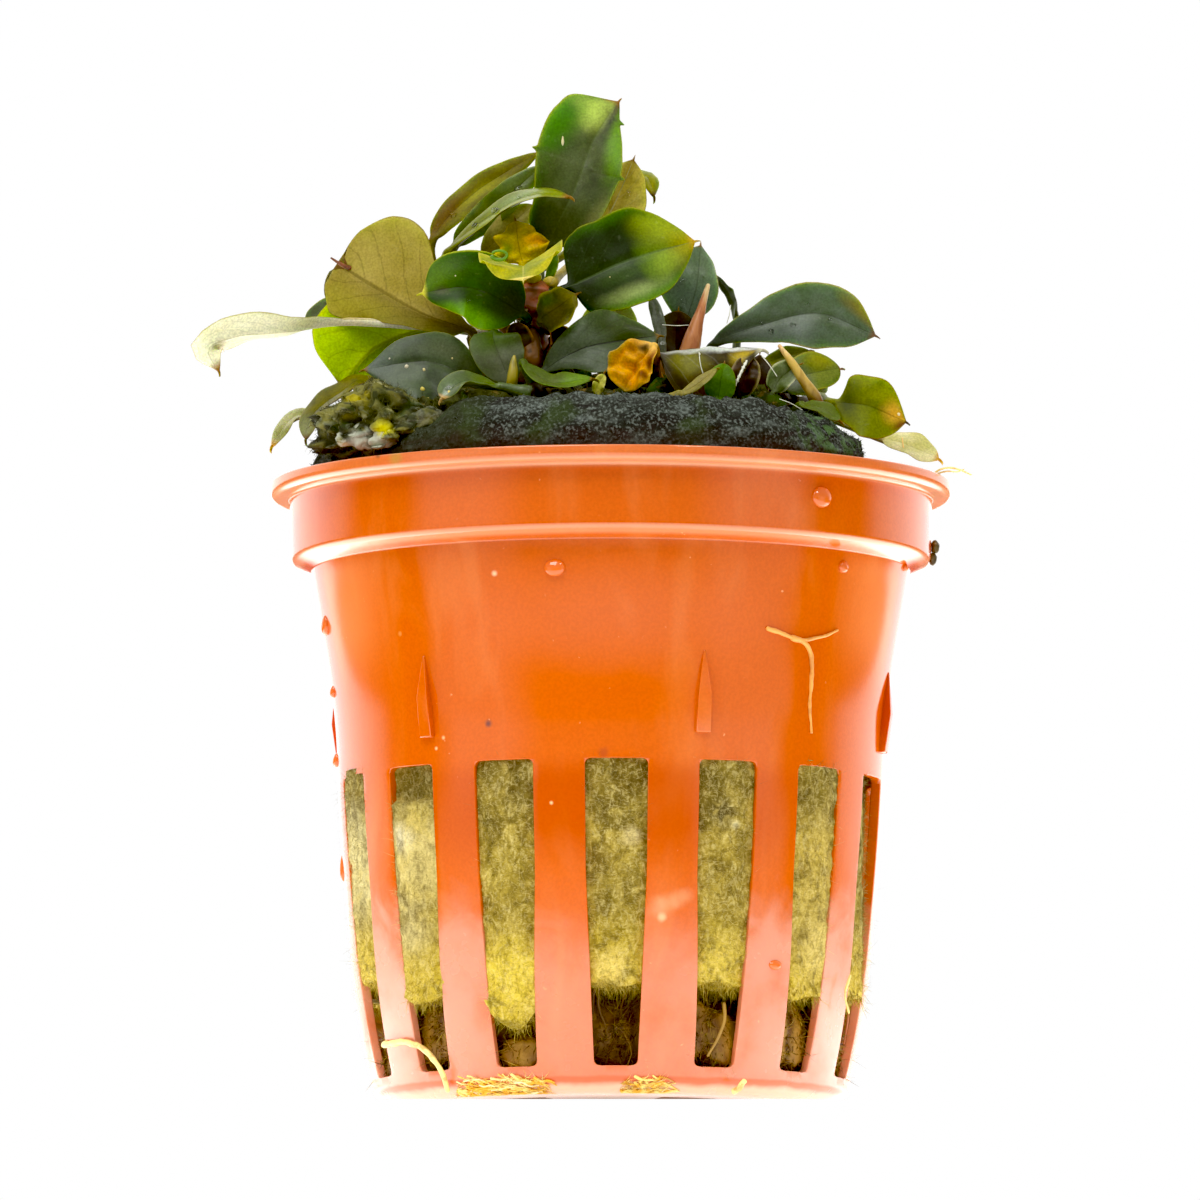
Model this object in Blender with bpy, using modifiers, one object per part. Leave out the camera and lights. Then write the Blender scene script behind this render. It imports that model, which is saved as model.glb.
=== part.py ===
"""A potted aquarium plant in a slotted plastic pot: pot, rock wool, roots, rhizomes, leaves and buds, one object for each.

Blender script, in metres, +Z up. The origin is the centre of the pot's flat base, and the front of the plant faces -Y.
"""

import math

import bpy
import numpy as np

MM = 0.001

# Pot, in millimetres
POT_STEPS = 45
POT_INSIDE = [
    (0.0, 0.9),
    (18.0, 0.9),
    (18.9, 4.2),
    (19.7, 9.0),
    (20.5, 16.8),
    (21.1, 24.9),
    (21.4, 30.0),
    (23.2, 43.6),
    (24.9, 44.5),
    (25.1, 50.4),
]
POT_OUTSIDE = [
    (27.5, 50.4),
    (27.5, 49.2),
    (25.9, 49.2),
    (25.8, 44.2),
    (24.1, 43.4),
    (22.1, 30.0),
    (21.9, 24.9),
    (21.3, 16.8),
    (20.5, 9.0),
    (19.6, 4.0),
    (18.9, 1.05),
    (16.6, 0.0),
    (0.0, 0.0),
]
SLOT_COUNT = 15
SLOT_FIRST_DEG = 1.1
SLOT_BOTTOM_Z = 1.9
SLOT_TOP_Z = 26.2
SLOT_BOTTOM_WIDTH = 4.0
SLOT_TOP_WIDTH = 5.0
SLOT_CORNER = 0.6
NUB_COUNT = 6
NUB_FIRST_DEG = 19.0
NUB_WIDTH = 1.1
NUB_PROFILE = [(21.6, 34.6), (22.4, 34.6), (22.85, 31.6), (22.65, 28.3), (21.6, 28.3)]
BASE_HOLE_COUNT = 4
BASE_HOLE_FIRST_DEG = 42.0
BASE_HOLE_INNER = 9.5
BASE_HOLE_OUTER = 14.5
BASE_HOLE_SPAN_DEG = 52.0

# Rock wool plug: height and radius of each ring, then the rings of its top
WOOL_SIDES = 20
WOOL_RINGS = [
    (8.0, 15.0),
    (8.6, 17.6),
    (11.0, 19.2),
    (20.0, 20.2),
    (30.0, 20.8),
    (42.4, 22.0),
    (45.4, 24.0),
    (50.6, 24.5),
]
WOOL_TOP_RADII = [24.3, 22.8, 18.0, 11.0, 4.0]
WOOL_TOP_DROPS = [1.3, 0.2, 0.0, 0.0, 0.0]
WOOL_TOP_Z = 55.0
WOOL_RIGHT_X = 20.0

# Loose lump of wool at the left of the top, and the root mass below the plug
LUMP_CENTRE = (-18.3, -11.8, 54.7)
LUMP_RADII = (4.9, 6.0, 2.1)
ROOT_SIDES = 16
ROOT_RINGS = [(1.4, 12.5), (2.6, 15.2), (5.4, 15.8), (7.6, 14.0)]

# Rhizomes and stems: name, then x, y, z and radius of each point
RHIZOMES = [
    (
        "rhizome_main",
        [
            (-12.2, -3.2, 56.7, 0.7),
            (-11.0, -3.7, 56.8, 1.2),
            (-8.0, -4.9, 57.0, 1.3),
            (-4.5, -5.6, 57.0, 1.4),
            (0.0, -5.2, 57.0, 1.2),
            (3.4, -5.0, 57.0, 1.1),
        ],
    ),
    (
        "stem_centre",
        [
            (-6.1, -6.3, 58.8, 1.2),
            (-6.4, -7.2, 61.0, 0.9),
            (-6.2, -7.8, 63.3, 1.1),
            (-5.9, -7.6, 65.3, 1.2),
        ],
    ),
    (
        "stem_left",
        [
            (-9.8, -5.4, 58.8, 1.0),
            (-10.4, -5.9, 60.2, 0.8),
            (-10.9, -5.8, 61.8, 0.7),
        ],
    ),
    (
        "stem_back_left",
        [
            (-12.2, -1.9, 57.8, 0.8),
            (-13.2, -1.2, 60.5, 0.9),
            (-13.6, -1.0, 63.4, 0.8),
            (-13.6, -1.2, 65.8, 0.9),
        ],
    ),
    (
        "rhizome_right",
        [
            (3.8, -5.0, 57.0, 1.1),
            (8.6, -5.0, 57.1, 1.1),
            (13.0, -6.3, 56.4, 1.0),
            (16.0, -9.4, 55.4, 0.8),
        ],
    ),
    (
        "rhizome_front",
        [
            (-4.6, -7.4, 56.8, 1.0),
            (-5.3, -11.0, 56.5, 0.8),
            (-6.2, -14.2, 56.2, 0.7),
        ],
    ),
    (
        "rhizome_back",
        [
            (-2.6, -3.5, 57.0, 1.0),
            (-2.0, 0.0, 57.1, 1.1),
            (-1.0, 4.5, 56.8, 1.1),
            (0.5, 9.0, 56.3, 0.9),
        ],
    ),
]

# Buds: name, then x, y, z and radius of each point
BUDS = [
    (
        "bud_right",
        [
            (7.2, -6.9, 58.6, 0.60),
            (7.1, -7.2, 61.5, 0.65),
            (7.4, -7.1, 64.0, 0.40),
            (7.8, -6.9, 65.8, 0.15),
        ],
    ),
    (
        "bud_far_right",
        [
            (16.3, -11.8, 55.7, 0.45),
            (15.4, -12.9, 57.2, 0.42),
            (13.4, -12.9, 59.9, 0.20),
        ],
    ),
    (
        "bud_front",
        [
            (-7.9, -15.7, 56.6, 0.35),
            (-7.8, -15.8, 57.6, 0.40),
            (-7.7, -15.7, 58.7, 0.15),
        ],
    ),
]

# Leaves: name, panels across each half, x, y, z from the stalk's foot through the blade's base to the tip,
# the outline, the way the upper side faces, fold and curl in degrees. An outline is the width, the place of the
# widest part and the bluntness of the ends, or else the half widths of the two sides at BLADE_STATIONS.
LEAVES = [
    ("leaf_01", 2, [(-5.8, -6.6, 66.2), (-5.3, -4.8, 69.0), (-3.0, -5.2, 73.5), (-1.5, -4.8, 77.6), (0.6, -3.8, 81.1)],
     ((0.4, 2.1, 2.9, 3.2, 3.2, 2.1, 0.8, 0.1), (0.4, 1.9, 2.7, 3.6, 4.1, 4.0, 3.0, 0.1)), (-0.05, -0.97, 0.20), 6, 8),
    ("leaf_02", 2, [(-4.6, -7.4, 66.1), (-1.9, -1.2, 69.6), (0.1, 0.0, 73.0), (1.8, 0.5, 77.0)],
     ((0.4, 0.8, 1.6, 2.3, 2.5, 1.9, 1.1, 0.1), (0.4, 0.6, 1.2, 1.6, 1.7, 1.4, 0.8, 0.1)), (0.20, -0.95, 0.20), 6, 8),
    ("leaf_03", 1, [(-7.2, -6.0, 66.2), (-0.6, 2.8, 71.8), (2.5, 3.4, 76.0), (3.5, 3.0, 74.4)],
     (3.0, 1.10, 0.70), (0.30, -0.40, 0.85), 10, 0),
    ("leaf_04", 2, [(-4.2, -8.6, 65.2), (-3.0, -8.6, 65.6), (1.4, -9.4, 67.4), (6.7, -8.4, 69.1)],
     ((0.4, 1.2, 2.0, 3.3, 2.9, 2.1, 1.1, 0.1), (0.4, 1.5, 2.4, 3.3, 4.0, 3.0, 1.3, 0.1)), (0.00, -0.97, 0.22), 4, 6),
    ("leaf_05", 2, [(5.0, -3.5, 58.7), (6.0, -4.2, 63.0), (6.9, -4.4, 66.0), (7.2, -3.8, 69.4)],
     ((0.4, 0.8, 1.5, 1.8, 1.5, 1.1, 0.5, 0.1), (0.4, 1.2, 2.4, 3.3, 3.3, 2.6, 1.4, 0.1)), (0.05, -0.97, 0.20), 4, 6),
    ("leaf_06", 1, [(9.9, -3.5, 58.6), (10.2, 0.5, 63.9), (9.6, 1.2, 65.8), (8.5, 1.0, 67.6)],
     (4.0, 1.00, 0.60), (0.85, 0.15, 0.50), 5, 0),
    ("leaf_07", 2, [(7.8, -3.4, 58.7), (8.1, -4.2, 61.2), (12.4, -5.6, 62.8), (16.7, -6.4, 63.5), (21.2, -6.0, 61.8)],
     ((0.4, 0.5, 1.1, 1.9, 3.0, 2.6, 1.4, 0.1), (0.4, 0.7, 1.4, 2.2, 2.4, 2.3, 1.1, 0.1)), (0.00, -0.95, 0.28), 4, 6),
    ("leaf_08", 2, [(4.4, -11.6, 55.9), (4.9, -12.4, 56.3), (7.8, -12.5, 57.0), (11.8, -12.5, 59.9)],
     (8.4, 0.75, 0.60), (-0.50, 0.00, 0.85), 55, 14),
    ("leaf_09", 1, [(3.6, -10.0, 58.0), (3.4, -14.6, 59.8), (2.0, -15.0, 58.1), (1.1, -15.2, 56.1)],
     (3.4, 1.00, 0.45), (-0.30, -0.95, 0.10), 10, 0),
    ("leaf_10", 2, [(-5.0, -9.4, 58.4), (-5.5, -11.4, 58.1), (-2.1, -12.2, 60.0), (3.8, -11.2, 61.1)],
     ((0.4, 0.5, 1.2, 2.4, 2.8, 2.4, 1.2, 0.1), (0.4, 0.8, 1.5, 2.4, 2.8, 2.0, 0.9, 0.1)), (0.00, -0.95, 0.30), 4, 6),
    ("leaf_11", 2, [(-6.9, -9.4, 62.3), (-7.0, -10.4, 62.9), (-11.0, -10.8, 65.0), (-15.1, -10.6, 64.6)],
     ((0.4, 1.4, 2.6, 3.1, 3.1, 2.8, 1.7, 0.1), (0.4, 1.2, 2.0, 2.3, 2.2, 1.4, 0.6, 0.1)), (0.05, -0.93, 0.34), 4, 8),
    ("leaf_12", 2, [(-10.9, -7.4, 61.0), (-11.4, -8.4, 62.0), (-15.3, -7.8, 63.5), (-19.6, -6.6, 66.1), (-21.9, -5.9, 67.7)],
     ((0.4, 1.0, 1.0, 1.4, 2.6, 3.4, 3.8, 3.0), (0.4, 0.8, 2.0, 4.1, 5.2, 5.6, 5.0, 2.9)), (0.15, 0.95, 0.28), 4, 6),
    ("leaf_13", 2, [(-12.2, -7.0, 59.6), (-21.0, -10.0, 62.1), (-25.8, -11.2, 61.5), (-29.9, -12.0, 60.5),
                    (-32.6, -12.0, 59.5), (-31.2, -12.0, 58.0)],
     ((0.3, 0.5, 0.9, 1.4, 2.0, 2.0, 1.0, 0.1), (0.3, 0.5, 0.9, 1.4, 2.0, 2.0, 1.0, 0.1)), (-0.10, 0.50, 0.86), 5, 8),
    ("leaf_14", 2, [(-12.4, -4.6, 60.4), (-14.4, -3.4, 62.7), (-19.0, -3.7, 61.1), (-21.7, -4.9, 57.8)],
     ((0.4, 0.8, 1.6, 2.2, 2.2, 1.8, 1.0, 0.1), (0.4, 1.2, 3.4, 5.0, 5.2, 4.4, 2.6, 0.1)), (-0.10, 0.97, 0.20), 4, 6),
    ("leaf_15", 1, [(-14.9, 0.0, 62.8), (-19.4, -0.8, 64.3), (-22.2, -1.0, 64.7), (-24.6, -1.6, 63.4)],
     (3.0, 1.10, 0.55), (0.00, -0.60, 0.80), 8, 0),
    ("leaf_16", 2, [(-9.0, -7.0, 57.4), (-9.6, -10.5, 56.9), (-14.4, -11.6, 58.9), (-19.7, -11.0, 58.4)],
     ((0.4, 0.7, 1.8, 2.6, 2.4, 1.8, 0.8, 0.1), (0.4, 0.5, 1.4, 2.8, 2.8, 1.8, 0.7, 0.1)), (-0.05, -0.93, 0.34), 4, 8),
    ("leaf_17", 2, [(-7.8, -8.6, 60.6), (-9.4, -12.0, 61.2), (-8.9, -13.0, 59.2), (-7.9, -13.6, 56.8)],
     ((0.5, 1.5, 2.1, 2.1, 1.9, 1.4, 0.7, 0.1), (0.5, 1.5, 2.1, 2.1, 1.9, 1.4, 0.7, 0.1)), (0.00, -0.95, 0.30), 5, 6),
    ("leaf_18", 1, [(-7.4, -16.6, 56.0), (-8.9, -16.8, 56.3), (-11.8, -17.6, 56.4), (-13.4, -18.4, 55.2)],
     (3.0, 1.20, 0.50), (-0.20, -0.50, 0.85), 22, 0),
    ("leaf_19", 1, [(-6.4, -13.6, 57.4), (-7.0, -14.4, 58.5), (-4.9, -15.6, 56.8), (-1.5, -16.2, 57.0)],
     (2.4, 1.10, 0.60), (0.20, -0.60, 0.75), 12, 0),
    ("leaf_20", 2, [(-6.4, -8.7, 66.3), (-6.9, -10.6, 66.5), (-7.0, -13.8, 66.3), (-7.0, -17.0, 64.9)],
     (7.2, 1.00, 0.60), (0.08, -0.15, 0.98), 12, 12),
    ("leaf_21", 1, [(-7.2, -7.0, 66.4), (-7.1, -6.0, 67.6), (-7.4, -5.8, 69.0), (-7.7, -5.4, 71.0)],
     (4.2, 1.00, 0.50), (0.00, -0.95, 0.20), 8, 0),
    ("leaf_22", 1, [(-5.2, -9.4, 62.2), (-5.6, -10.8, 62.4), (-4.5, -11.6, 63.2), (-2.8, -11.4, 64.4)],
     (3.0, 1.00, 0.45), (0.00, -0.95, 0.30), 8, 0),
    ("leaf_23", 1, [(-13.9, -2.2, 66.6), (-14.4, -2.8, 69.6), (-11.0, -2.4, 73.3), (-5.9, -1.4, 77.0)],
     (3.0, 0.80, 0.65), (-0.35, -0.85, 0.40), 8, 0),
    ("leaf_24", 1, [(-13.2, -0.4, 66.6), (-12.8, 0.5, 70.0), (-9.3, 0.6, 73.1), (-6.0, 0.4, 76.1)],
     (2.6, 0.90, 0.60), (0.30, -0.85, 0.40), 8, 0),
    ("leaf_25", 1, [(-13.2, -2.6, 66.2), (-13.2, -5.2, 68.6), (-8.9, -6.2, 72.0), (-5.7, -7.2, 73.1),
                    (-3.4, -8.0, 72.8)],
     (2.8, 1.30, 0.65), (0.05, -0.50, 0.86), 10, 0),
    ("leaf_26", 1, [(-12.6, -1.6, 66.8), (-10.4, -4.0, 68.6), (-8.3, -3.6, 70.9), (-6.3, -3.0, 72.8)],
     (2.4, 1.00, 0.60), (0.20, -0.90, 0.30), 8, 0),
    ("leaf_27", 1, [(-13.6, -4.2, 57.0), (-19.2, -7.0, 58.2), (-21.8, -7.0, 57.0), (-23.9, -7.1, 55.3),
                    (-24.5, -7.3, 53.3)],
     (3.4, 0.90, 0.60), (-0.40, -0.50, 0.80), 10, 0),
    ("leaf_28", 1, [(-13.6, -3.0, 56.6), (-21.4, -2.5, 54.9), (-25.2, -2.5, 55.7), (-27.3, -2.8, 53.3)],
     (2.6, 1.10, 0.55), (-0.20, -0.40, 0.90), 10, 0),
    ("leaf_29", 2, [(16.9, -8.8, 56.2), (18.0, -12.6, 55.5), (20.5, -13.4, 55.2), (23.5, -12.4, 54.0)],
     ((0.5, 1.2, 2.0, 2.8, 2.7, 2.0, 1.1, 0.1), (0.5, 1.6, 2.3, 2.4, 2.3, 1.6, 0.7, 0.1)), (0.05, -0.97, 0.20), 4, 6),
    ("leaf_30", 1, [(17.2, -7.0, 55.2), (21.7, -8.0, 53.2), (23.7, -8.0, 52.7), (26.2, -8.0, 51.6)],
     (2.4, 1.00, 0.60), (0.10, -0.40, 0.90), 8, 0),
    ("leaf_31", 2, [(14.4, -8.9, 57.2), (13.8, -10.4, 57.0), (15.6, -10.8, 58.0), (18.3, -10.0, 58.6)],
     (3.6, 1.00, 0.55), (0.00, -0.93, 0.34), 6, 8),
    ("leaf_32", 1, [(14.4, -9.6, 55.0), (15.2, -13.0, 55.3), (16.8, -13.6, 54.9), (18.2, -14.2, 53.9)],
     (1.8, 1.00, 0.60), (0.00, -0.60, 0.80), 10, 0),
    ("leaf_33", 1, [(11.4, -7.6, 56.2), (11.6, -8.8, 56.0), (11.8, -9.0, 57.8), (11.9, -8.8, 59.9)],
     (3.4, 0.55, 0.90), (0.00, -0.95, 0.20), 10, 0),
    ("leaf_34", 1, [(8.9, -14.6, 55.1), (8.9, -14.9, 55.7), (9.0, -15.1, 56.8), (8.9, -14.9, 58.0)],
     (1.9, 0.90, 0.55), (0.00, -0.99, 0.10), 10, 0),
    ("leaf_35", 1, [(4.9, -15.6, 55.5), (5.5, -15.9, 55.8), (6.8, -16.1, 56.5), (8.4, -16.1, 57.8)],
     (1.2, 1.00, 0.60), (-0.50, -0.80, 0.40), 10, 0),
    ("leaf_36", 1, [(5.2, -6.7, 58.3), (4.8, -6.6, 60.6), (4.8, -6.5, 62.8), (4.9, -6.0, 64.8)],
     (2.6, 0.90, 0.65), (0.00, -0.95, 0.20), 8, 0),
    ("leaf_37", 1, [(12.0, -4.4, 57.8), (12.2, -4.6, 59.4), (14.0, -4.5, 60.3), (15.9, -4.3, 60.8)],
     (1.9, 1.00, 0.60), (0.00, -0.80, 0.60), 8, 0),
    ("leaf_38", 1, [(4.0, -7.0, 58.2), (4.1, -8.0, 60.8), (3.7, -8.1, 62.9), (3.2, -7.6, 64.9)],
     (1.2, 1.00, 0.60), (0.30, -0.90, 0.10), 8, 0),
    ("leaf_39", 2, [(-2.6, 2.0, 58.7), (-4.5, 4.5, 60.5), (-7.5, 7.0, 62.3), (-10.5, 9.0, 62.3)],
     (6.0, 1.00, 0.55), (0.10, 0.35, 0.93), 6, 8),
    ("leaf_40", 2, [(-2.3, 5.6, 58.0), (-4.0, 9.0, 59.3), (-6.5, 12.5, 60.6), (-9.0, 15.5, 60.0)],
     (6.2, 1.00, 0.55), (0.10, 0.30, 0.95), 6, 8),
    ("leaf_41", 1, [(0.6, 6.0, 58.0), (3.5, 8.5, 59.5), (6.5, 11.0, 61.0), (10.0, 13.0, 60.4)],
     (5.6, 1.00, 0.55), (0.00, 0.30, 0.95), 6, 0),
    ("leaf_42", 1, [(1.2, 10.2, 57.4), (2.5, 12.5, 58.6), (3.5, 16.0, 59.8), (4.5, 19.5, 58.6)],
     (5.4, 1.00, 0.55), (0.10, 0.20, 0.97), 6, 0),
    ("leaf_43", 1, [(-0.4, 10.4, 57.2), (-2.0, 13.5, 57.6), (-3.4, 17.0, 58.2), (-4.2, 20.5, 56.8)],
     (5.0, 1.00, 0.55), (-0.10, 0.20, 0.97), 6, 0),
    ("leaf_44", 1, [(-0.8, 3.0, 58.8), (-0.5, 4.5, 61.0), (0.0, 6.0, 64.0), (0.8, 7.2, 66.6)],
     (5.0, 1.00, 0.55), (-0.10, 0.90, 0.40), 6, 0),
    ("leaf_45", 1, [(9.6, -2.8, 57.6), (11.0, 0.0, 58.8), (14.0, 4.0, 59.6), (17.0, 7.5, 58.6)],
     (5.4, 1.00, 0.55), (0.00, 0.20, 0.97), 6, 0),
    ("leaf_46", 1, [(-13.6, 0.2, 59.6), (-14.5, 2.5, 60.0), (-17.0, 6.0, 60.6), (-20.0, 9.5, 59.4)],
     (5.6, 1.00, 0.55), (0.00, 0.30, 0.95), 6, 0),
]
STALK_RADIUS = 0.36
RIB_THICKNESS = 0.50
BLADE_THICKNESS = 0.34
BLADE_STATIONS = [0.0, 0.08, 0.22, 0.40, 0.60, 0.78, 0.92, 1.0]

# Colours of the nodes, linear red, green and blue
COLOURS = {
    "pot": (0.80, 0.18, 0.05),
    "wool": (0.30, 0.28, 0.07),
    "lump": (0.22, 0.22, 0.08),
    "root": (0.10, 0.06, 0.03),
    "rhizome": (0.20, 0.09, 0.05),
    "bud": (0.40, 0.18, 0.08),
    "leaf": (0.06, 0.15, 0.05),
}


def turn(deg):
    """The direction on the ground at this angle from the front, turning to the right."""
    return math.sin(math.radians(deg)), -math.cos(math.radians(deg))


def material(name, colour):
    """A plain material of one colour."""
    made = bpy.data.materials.new(name)
    made.use_nodes = True
    made.node_tree.nodes["Principled BSDF"].inputs["Base Color"].default_value = (*colour, 1)
    made.diffuse_color = (*colour, 1)
    return made


def keep(obj, colour, group):
    """Puts the object in its collection with a material of its own."""
    group.objects.link(obj)
    obj.data.materials.append(material(obj.name + "_colour", colour))
    return obj


def mesh_object(name, points, faces):
    """An object with the given points, in millimetres, and faces."""
    mesh = bpy.data.meshes.new(name)
    mesh.from_pydata([tuple(float(v) * MM for v in p) for p in points], [], faces)
    mesh.validate()
    return bpy.data.objects.new(name, mesh)


def loft(name, rings):
    """A closed solid through rings of the same number of points, capped at both ends."""
    count = len(rings[0])
    points = [p for ring in rings for p in ring]
    faces = []
    for k in range(len(rings) - 1):
        for i in range(count):
            a = k * count + i
            b = k * count + (i + 1) % count
            faces.append((a, b, b + count, a + count))
    faces.append(tuple(reversed(range(count))))
    faces.append(tuple(range(len(points) - count, len(points))))
    return mesh_object(name, points, faces)


def prism(name, outline, depth, place):
    """A flat outline in millimetres, extruded both ways by half of depth, and placed by a function of its points."""
    curve = bpy.data.curves.new(name, "CURVE")
    curve.dimensions = "2D"
    curve.fill_mode = "BOTH"
    curve.extrude = depth * MM / 2
    line = curve.splines.new("POLY")
    line.points.add(len(outline) - 1)
    for point, (x, y) in zip(line.points, outline):
        point.co = (x * MM, y * MM, 0, 1)
    line.use_cyclic_u = True
    holder = bpy.data.objects.new(name + "_line", curve)
    mesh = bpy.data.meshes.new_from_object(holder)
    bpy.data.objects.remove(holder)
    for vertex in mesh.vertices:
        vertex.co = place(*vertex.co)
    return mesh


def joined(name, meshes):
    """One object with the closed meshes side by side, each welded and with its faces turned outwards."""
    points = []
    faces = []
    for mesh in meshes:
        spots = {}
        numbers = []
        for vertex in mesh.vertices:
            key = tuple(round(c, 7) for c in vertex.co)
            if key not in spots:
                spots[key] = len(points)
                points.append(key)
            numbers.append(spots[key])
        own = [tuple(numbers[v] for v in polygon.vertices) for polygon in mesh.polygons]
        corners = np.array([points[f[0]] for f in own for _ in range(len(f) - 2)])
        second = np.array([points[f[k]] for f in own for k in range(1, len(f) - 1)])
        third = np.array([points[f[k]] for f in own for k in range(2, len(f))])
        inside_out = np.einsum("ij,ij->i", corners, np.cross(second, third)).sum() < 0
        faces += [f[::-1] if inside_out else f for f in own]
    made = bpy.data.meshes.new(name)
    made.from_pydata(points, [], faces)
    return bpy.data.objects.new(name, made)


def ring_path(points, samples=24):
    """A smooth line through the points, with the distance along it at each sample."""
    knots = np.array(points, float)
    ends = np.vstack([2 * knots[0] - knots[1], knots, 2 * knots[-1] - knots[-2]])
    line = []
    for k in range(len(knots) - 1):
        a, b, c, d = ends[k : k + 4]
        for t in np.linspace(0, 1, samples, endpoint=False):
            line.append(
                0.5
                * (
                    2 * b
                    + (c - a) * t
                    + (2 * a - 5 * b + 4 * c - d) * t * t
                    + (3 * b - a - 3 * c + d) * t**3
                )
            )
    line.append(knots[-1])
    line = np.array(line)
    return line, np.concatenate([[0], np.cumsum(np.linalg.norm(np.diff(line, axis=0), axis=1))])


def spot(line, along, distance):
    """The point of the line at this distance, and the way that it runs there."""
    here = np.array([np.interp(distance, along, line[:, k]) for k in range(3)])
    step = 0.02 * along[-1]
    low = max(distance - step, 0)
    high = min(distance + step, along[-1])
    ahead = np.array([np.interp(high, along, line[:, k]) - np.interp(low, along, line[:, k]) for k in range(3)])
    return here, ahead / np.linalg.norm(ahead)


def half_widths(outline, u):
    """The half widths of the two sides of a blade, at this share of its length."""
    if len(outline) == 2:
        return [max(float(np.interp(u, BLADE_STATIONS, sides)), 0.12) for sides in outline]
    width, widest, blunt = outline
    v = u**widest
    half = max(width / 2 * (4 * v * (1 - v)) ** blunt, 0.32 if u < 0.5 else 0.12)
    return [half, half]


def leaf_rings(panels, points, outline, facing, fold, curl):
    """The rings of points of one leaf, from the stalk's foot to the tip."""
    line, along = ring_path(points)
    start = along[24]
    length = along[-1] - start
    stations = [(0.0, None), (start * 0.5, None)] + [(start + u * length, u) for u in BLADE_STATIONS]
    rings = []
    for distance, u in stations:
        here, ahead = spot(line, along, distance)
        side = np.cross(ahead, np.array(facing, float))
        side /= np.linalg.norm(side)
        up = np.cross(side, ahead)
        if u is None:
            halves = [STALK_RADIUS, STALK_RADIUS]
            rib = edge = STALK_RADIUS * 1.6
            lift = bend = 0.0
        else:
            halves = half_widths(outline, u)
            rib = RIB_THICKNESS * (1 - 0.5 * u)
            edge = BLADE_THICKNESS * (1 - 0.4 * u)
            share = min(4 * u, 4 * (1 - u), 1)
            lift = math.radians(fold) * share
            bend = math.radians(curl) * share
        spans = {}
        for sign, half in zip((1, -1), halves):
            spans[sign] = []
            for k in range(1, panels + 1):
                c = k / panels
                angle = lift + bend * c / 2
                spans[sign].append((half * c * math.cos(angle), half * c * math.sin(angle), lift + bend * c))
        ring = []
        for sign in (-1, 1):
            for k, (x, y, angle) in list(enumerate(spans[sign]))[:: -1 if sign < 0 else 1]:
                if sign > 0 and k == 0:
                    ring.append(here + up * rib / 2)
                thick = 0 if k == panels - 1 else edge / 2
                out = -math.sin(angle) * sign * side + math.cos(angle) * up
                ring.append(here + side * sign * x + up * y + out * thick)
        for sign in (1, -1):
            inner = spans[sign][:-1]
            for x, y, angle in inner[::-1] if sign > 0 else inner:
                out = -math.sin(angle) * sign * side + math.cos(angle) * up
                ring.append(here + side * sign * x + up * y - out * edge / 2)
            if sign > 0:
                ring.append(here - up * rib / 2)
        rings.append(ring)
    return rings


def tube(name, points):
    """A round stem through the points, each with its radius."""
    curve = bpy.data.curves.new(name, "CURVE")
    curve.dimensions = "3D"
    curve.bevel_depth = MM
    curve.bevel_resolution = 2
    curve.use_fill_caps = True
    line = curve.splines.new("POLY")
    line.points.add(len(points) - 1)
    for point, (x, y, z, radius) in zip(line.points, points):
        point.co = (x * MM, y * MM, z * MM, 1)
        point.radius = radius
    return bpy.data.objects.new(name, curve)


def wool_top(x):
    """How high the plug's top is at this x."""
    right = 0.21 * max(x - 6.0, 0.0)
    left = 3.0 * min(max(-11.8 - x, 0.0) / 1.2, 1.0)
    return WOOL_TOP_Z - right - left


def wool_rings():
    """The rings of the plug, cut flat at the right."""
    rings = []
    for z, radius in WOOL_RINGS:
        ring = []
        for k in range(WOOL_SIDES):
            sx, sy = turn(360 * (k + 0.5) / WOOL_SIDES)
            ring.append((min(sx * radius, WOOL_RIGHT_X), sy * radius, z))
        rings.append(ring)
    for radius, drop in zip(WOOL_TOP_RADII, WOOL_TOP_DROPS):
        ring = []
        for k in range(WOOL_SIDES):
            sx, sy = turn(360 * (k + 0.5) / WOOL_SIDES)
            x = min(sx * radius, WOOL_RIGHT_X - 0.2 * (24.3 - radius))
            ring.append((x, sy * radius, wool_top(x) - drop))
        rings.append(ring)
    return rings


# Clear the scene and make the collections

for old in list(bpy.data.objects):
    bpy.data.objects.remove(old)
plant = bpy.data.collections.new("potted_bucephalandra_sordidula")
cutters = bpy.data.collections.new("cutters")
bpy.context.scene.collection.children.link(plant)
bpy.context.scene.collection.children.link(cutters)

# Pot: one moulding, turned from its section, with side slots, base openings and small wedge ribs

section = POT_INSIDE + POT_OUTSIDE
pot_mesh = bpy.data.meshes.new("pot")
pot_mesh.from_pydata(
    [(r * MM, 0, z * MM) for r, z in section], [(k, k + 1) for k in range(len(section) - 1)], []
)
pot = keep(bpy.data.objects.new("pot", pot_mesh), COLOURS["pot"], plant)
screw = pot.modifiers.new("turned", "SCREW")
screw.steps = POT_STEPS
screw.render_steps = POT_STEPS
screw.use_merge_vertices = True
screw.merge_threshold = 0.00001
screw.use_smooth_shade = False

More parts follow.
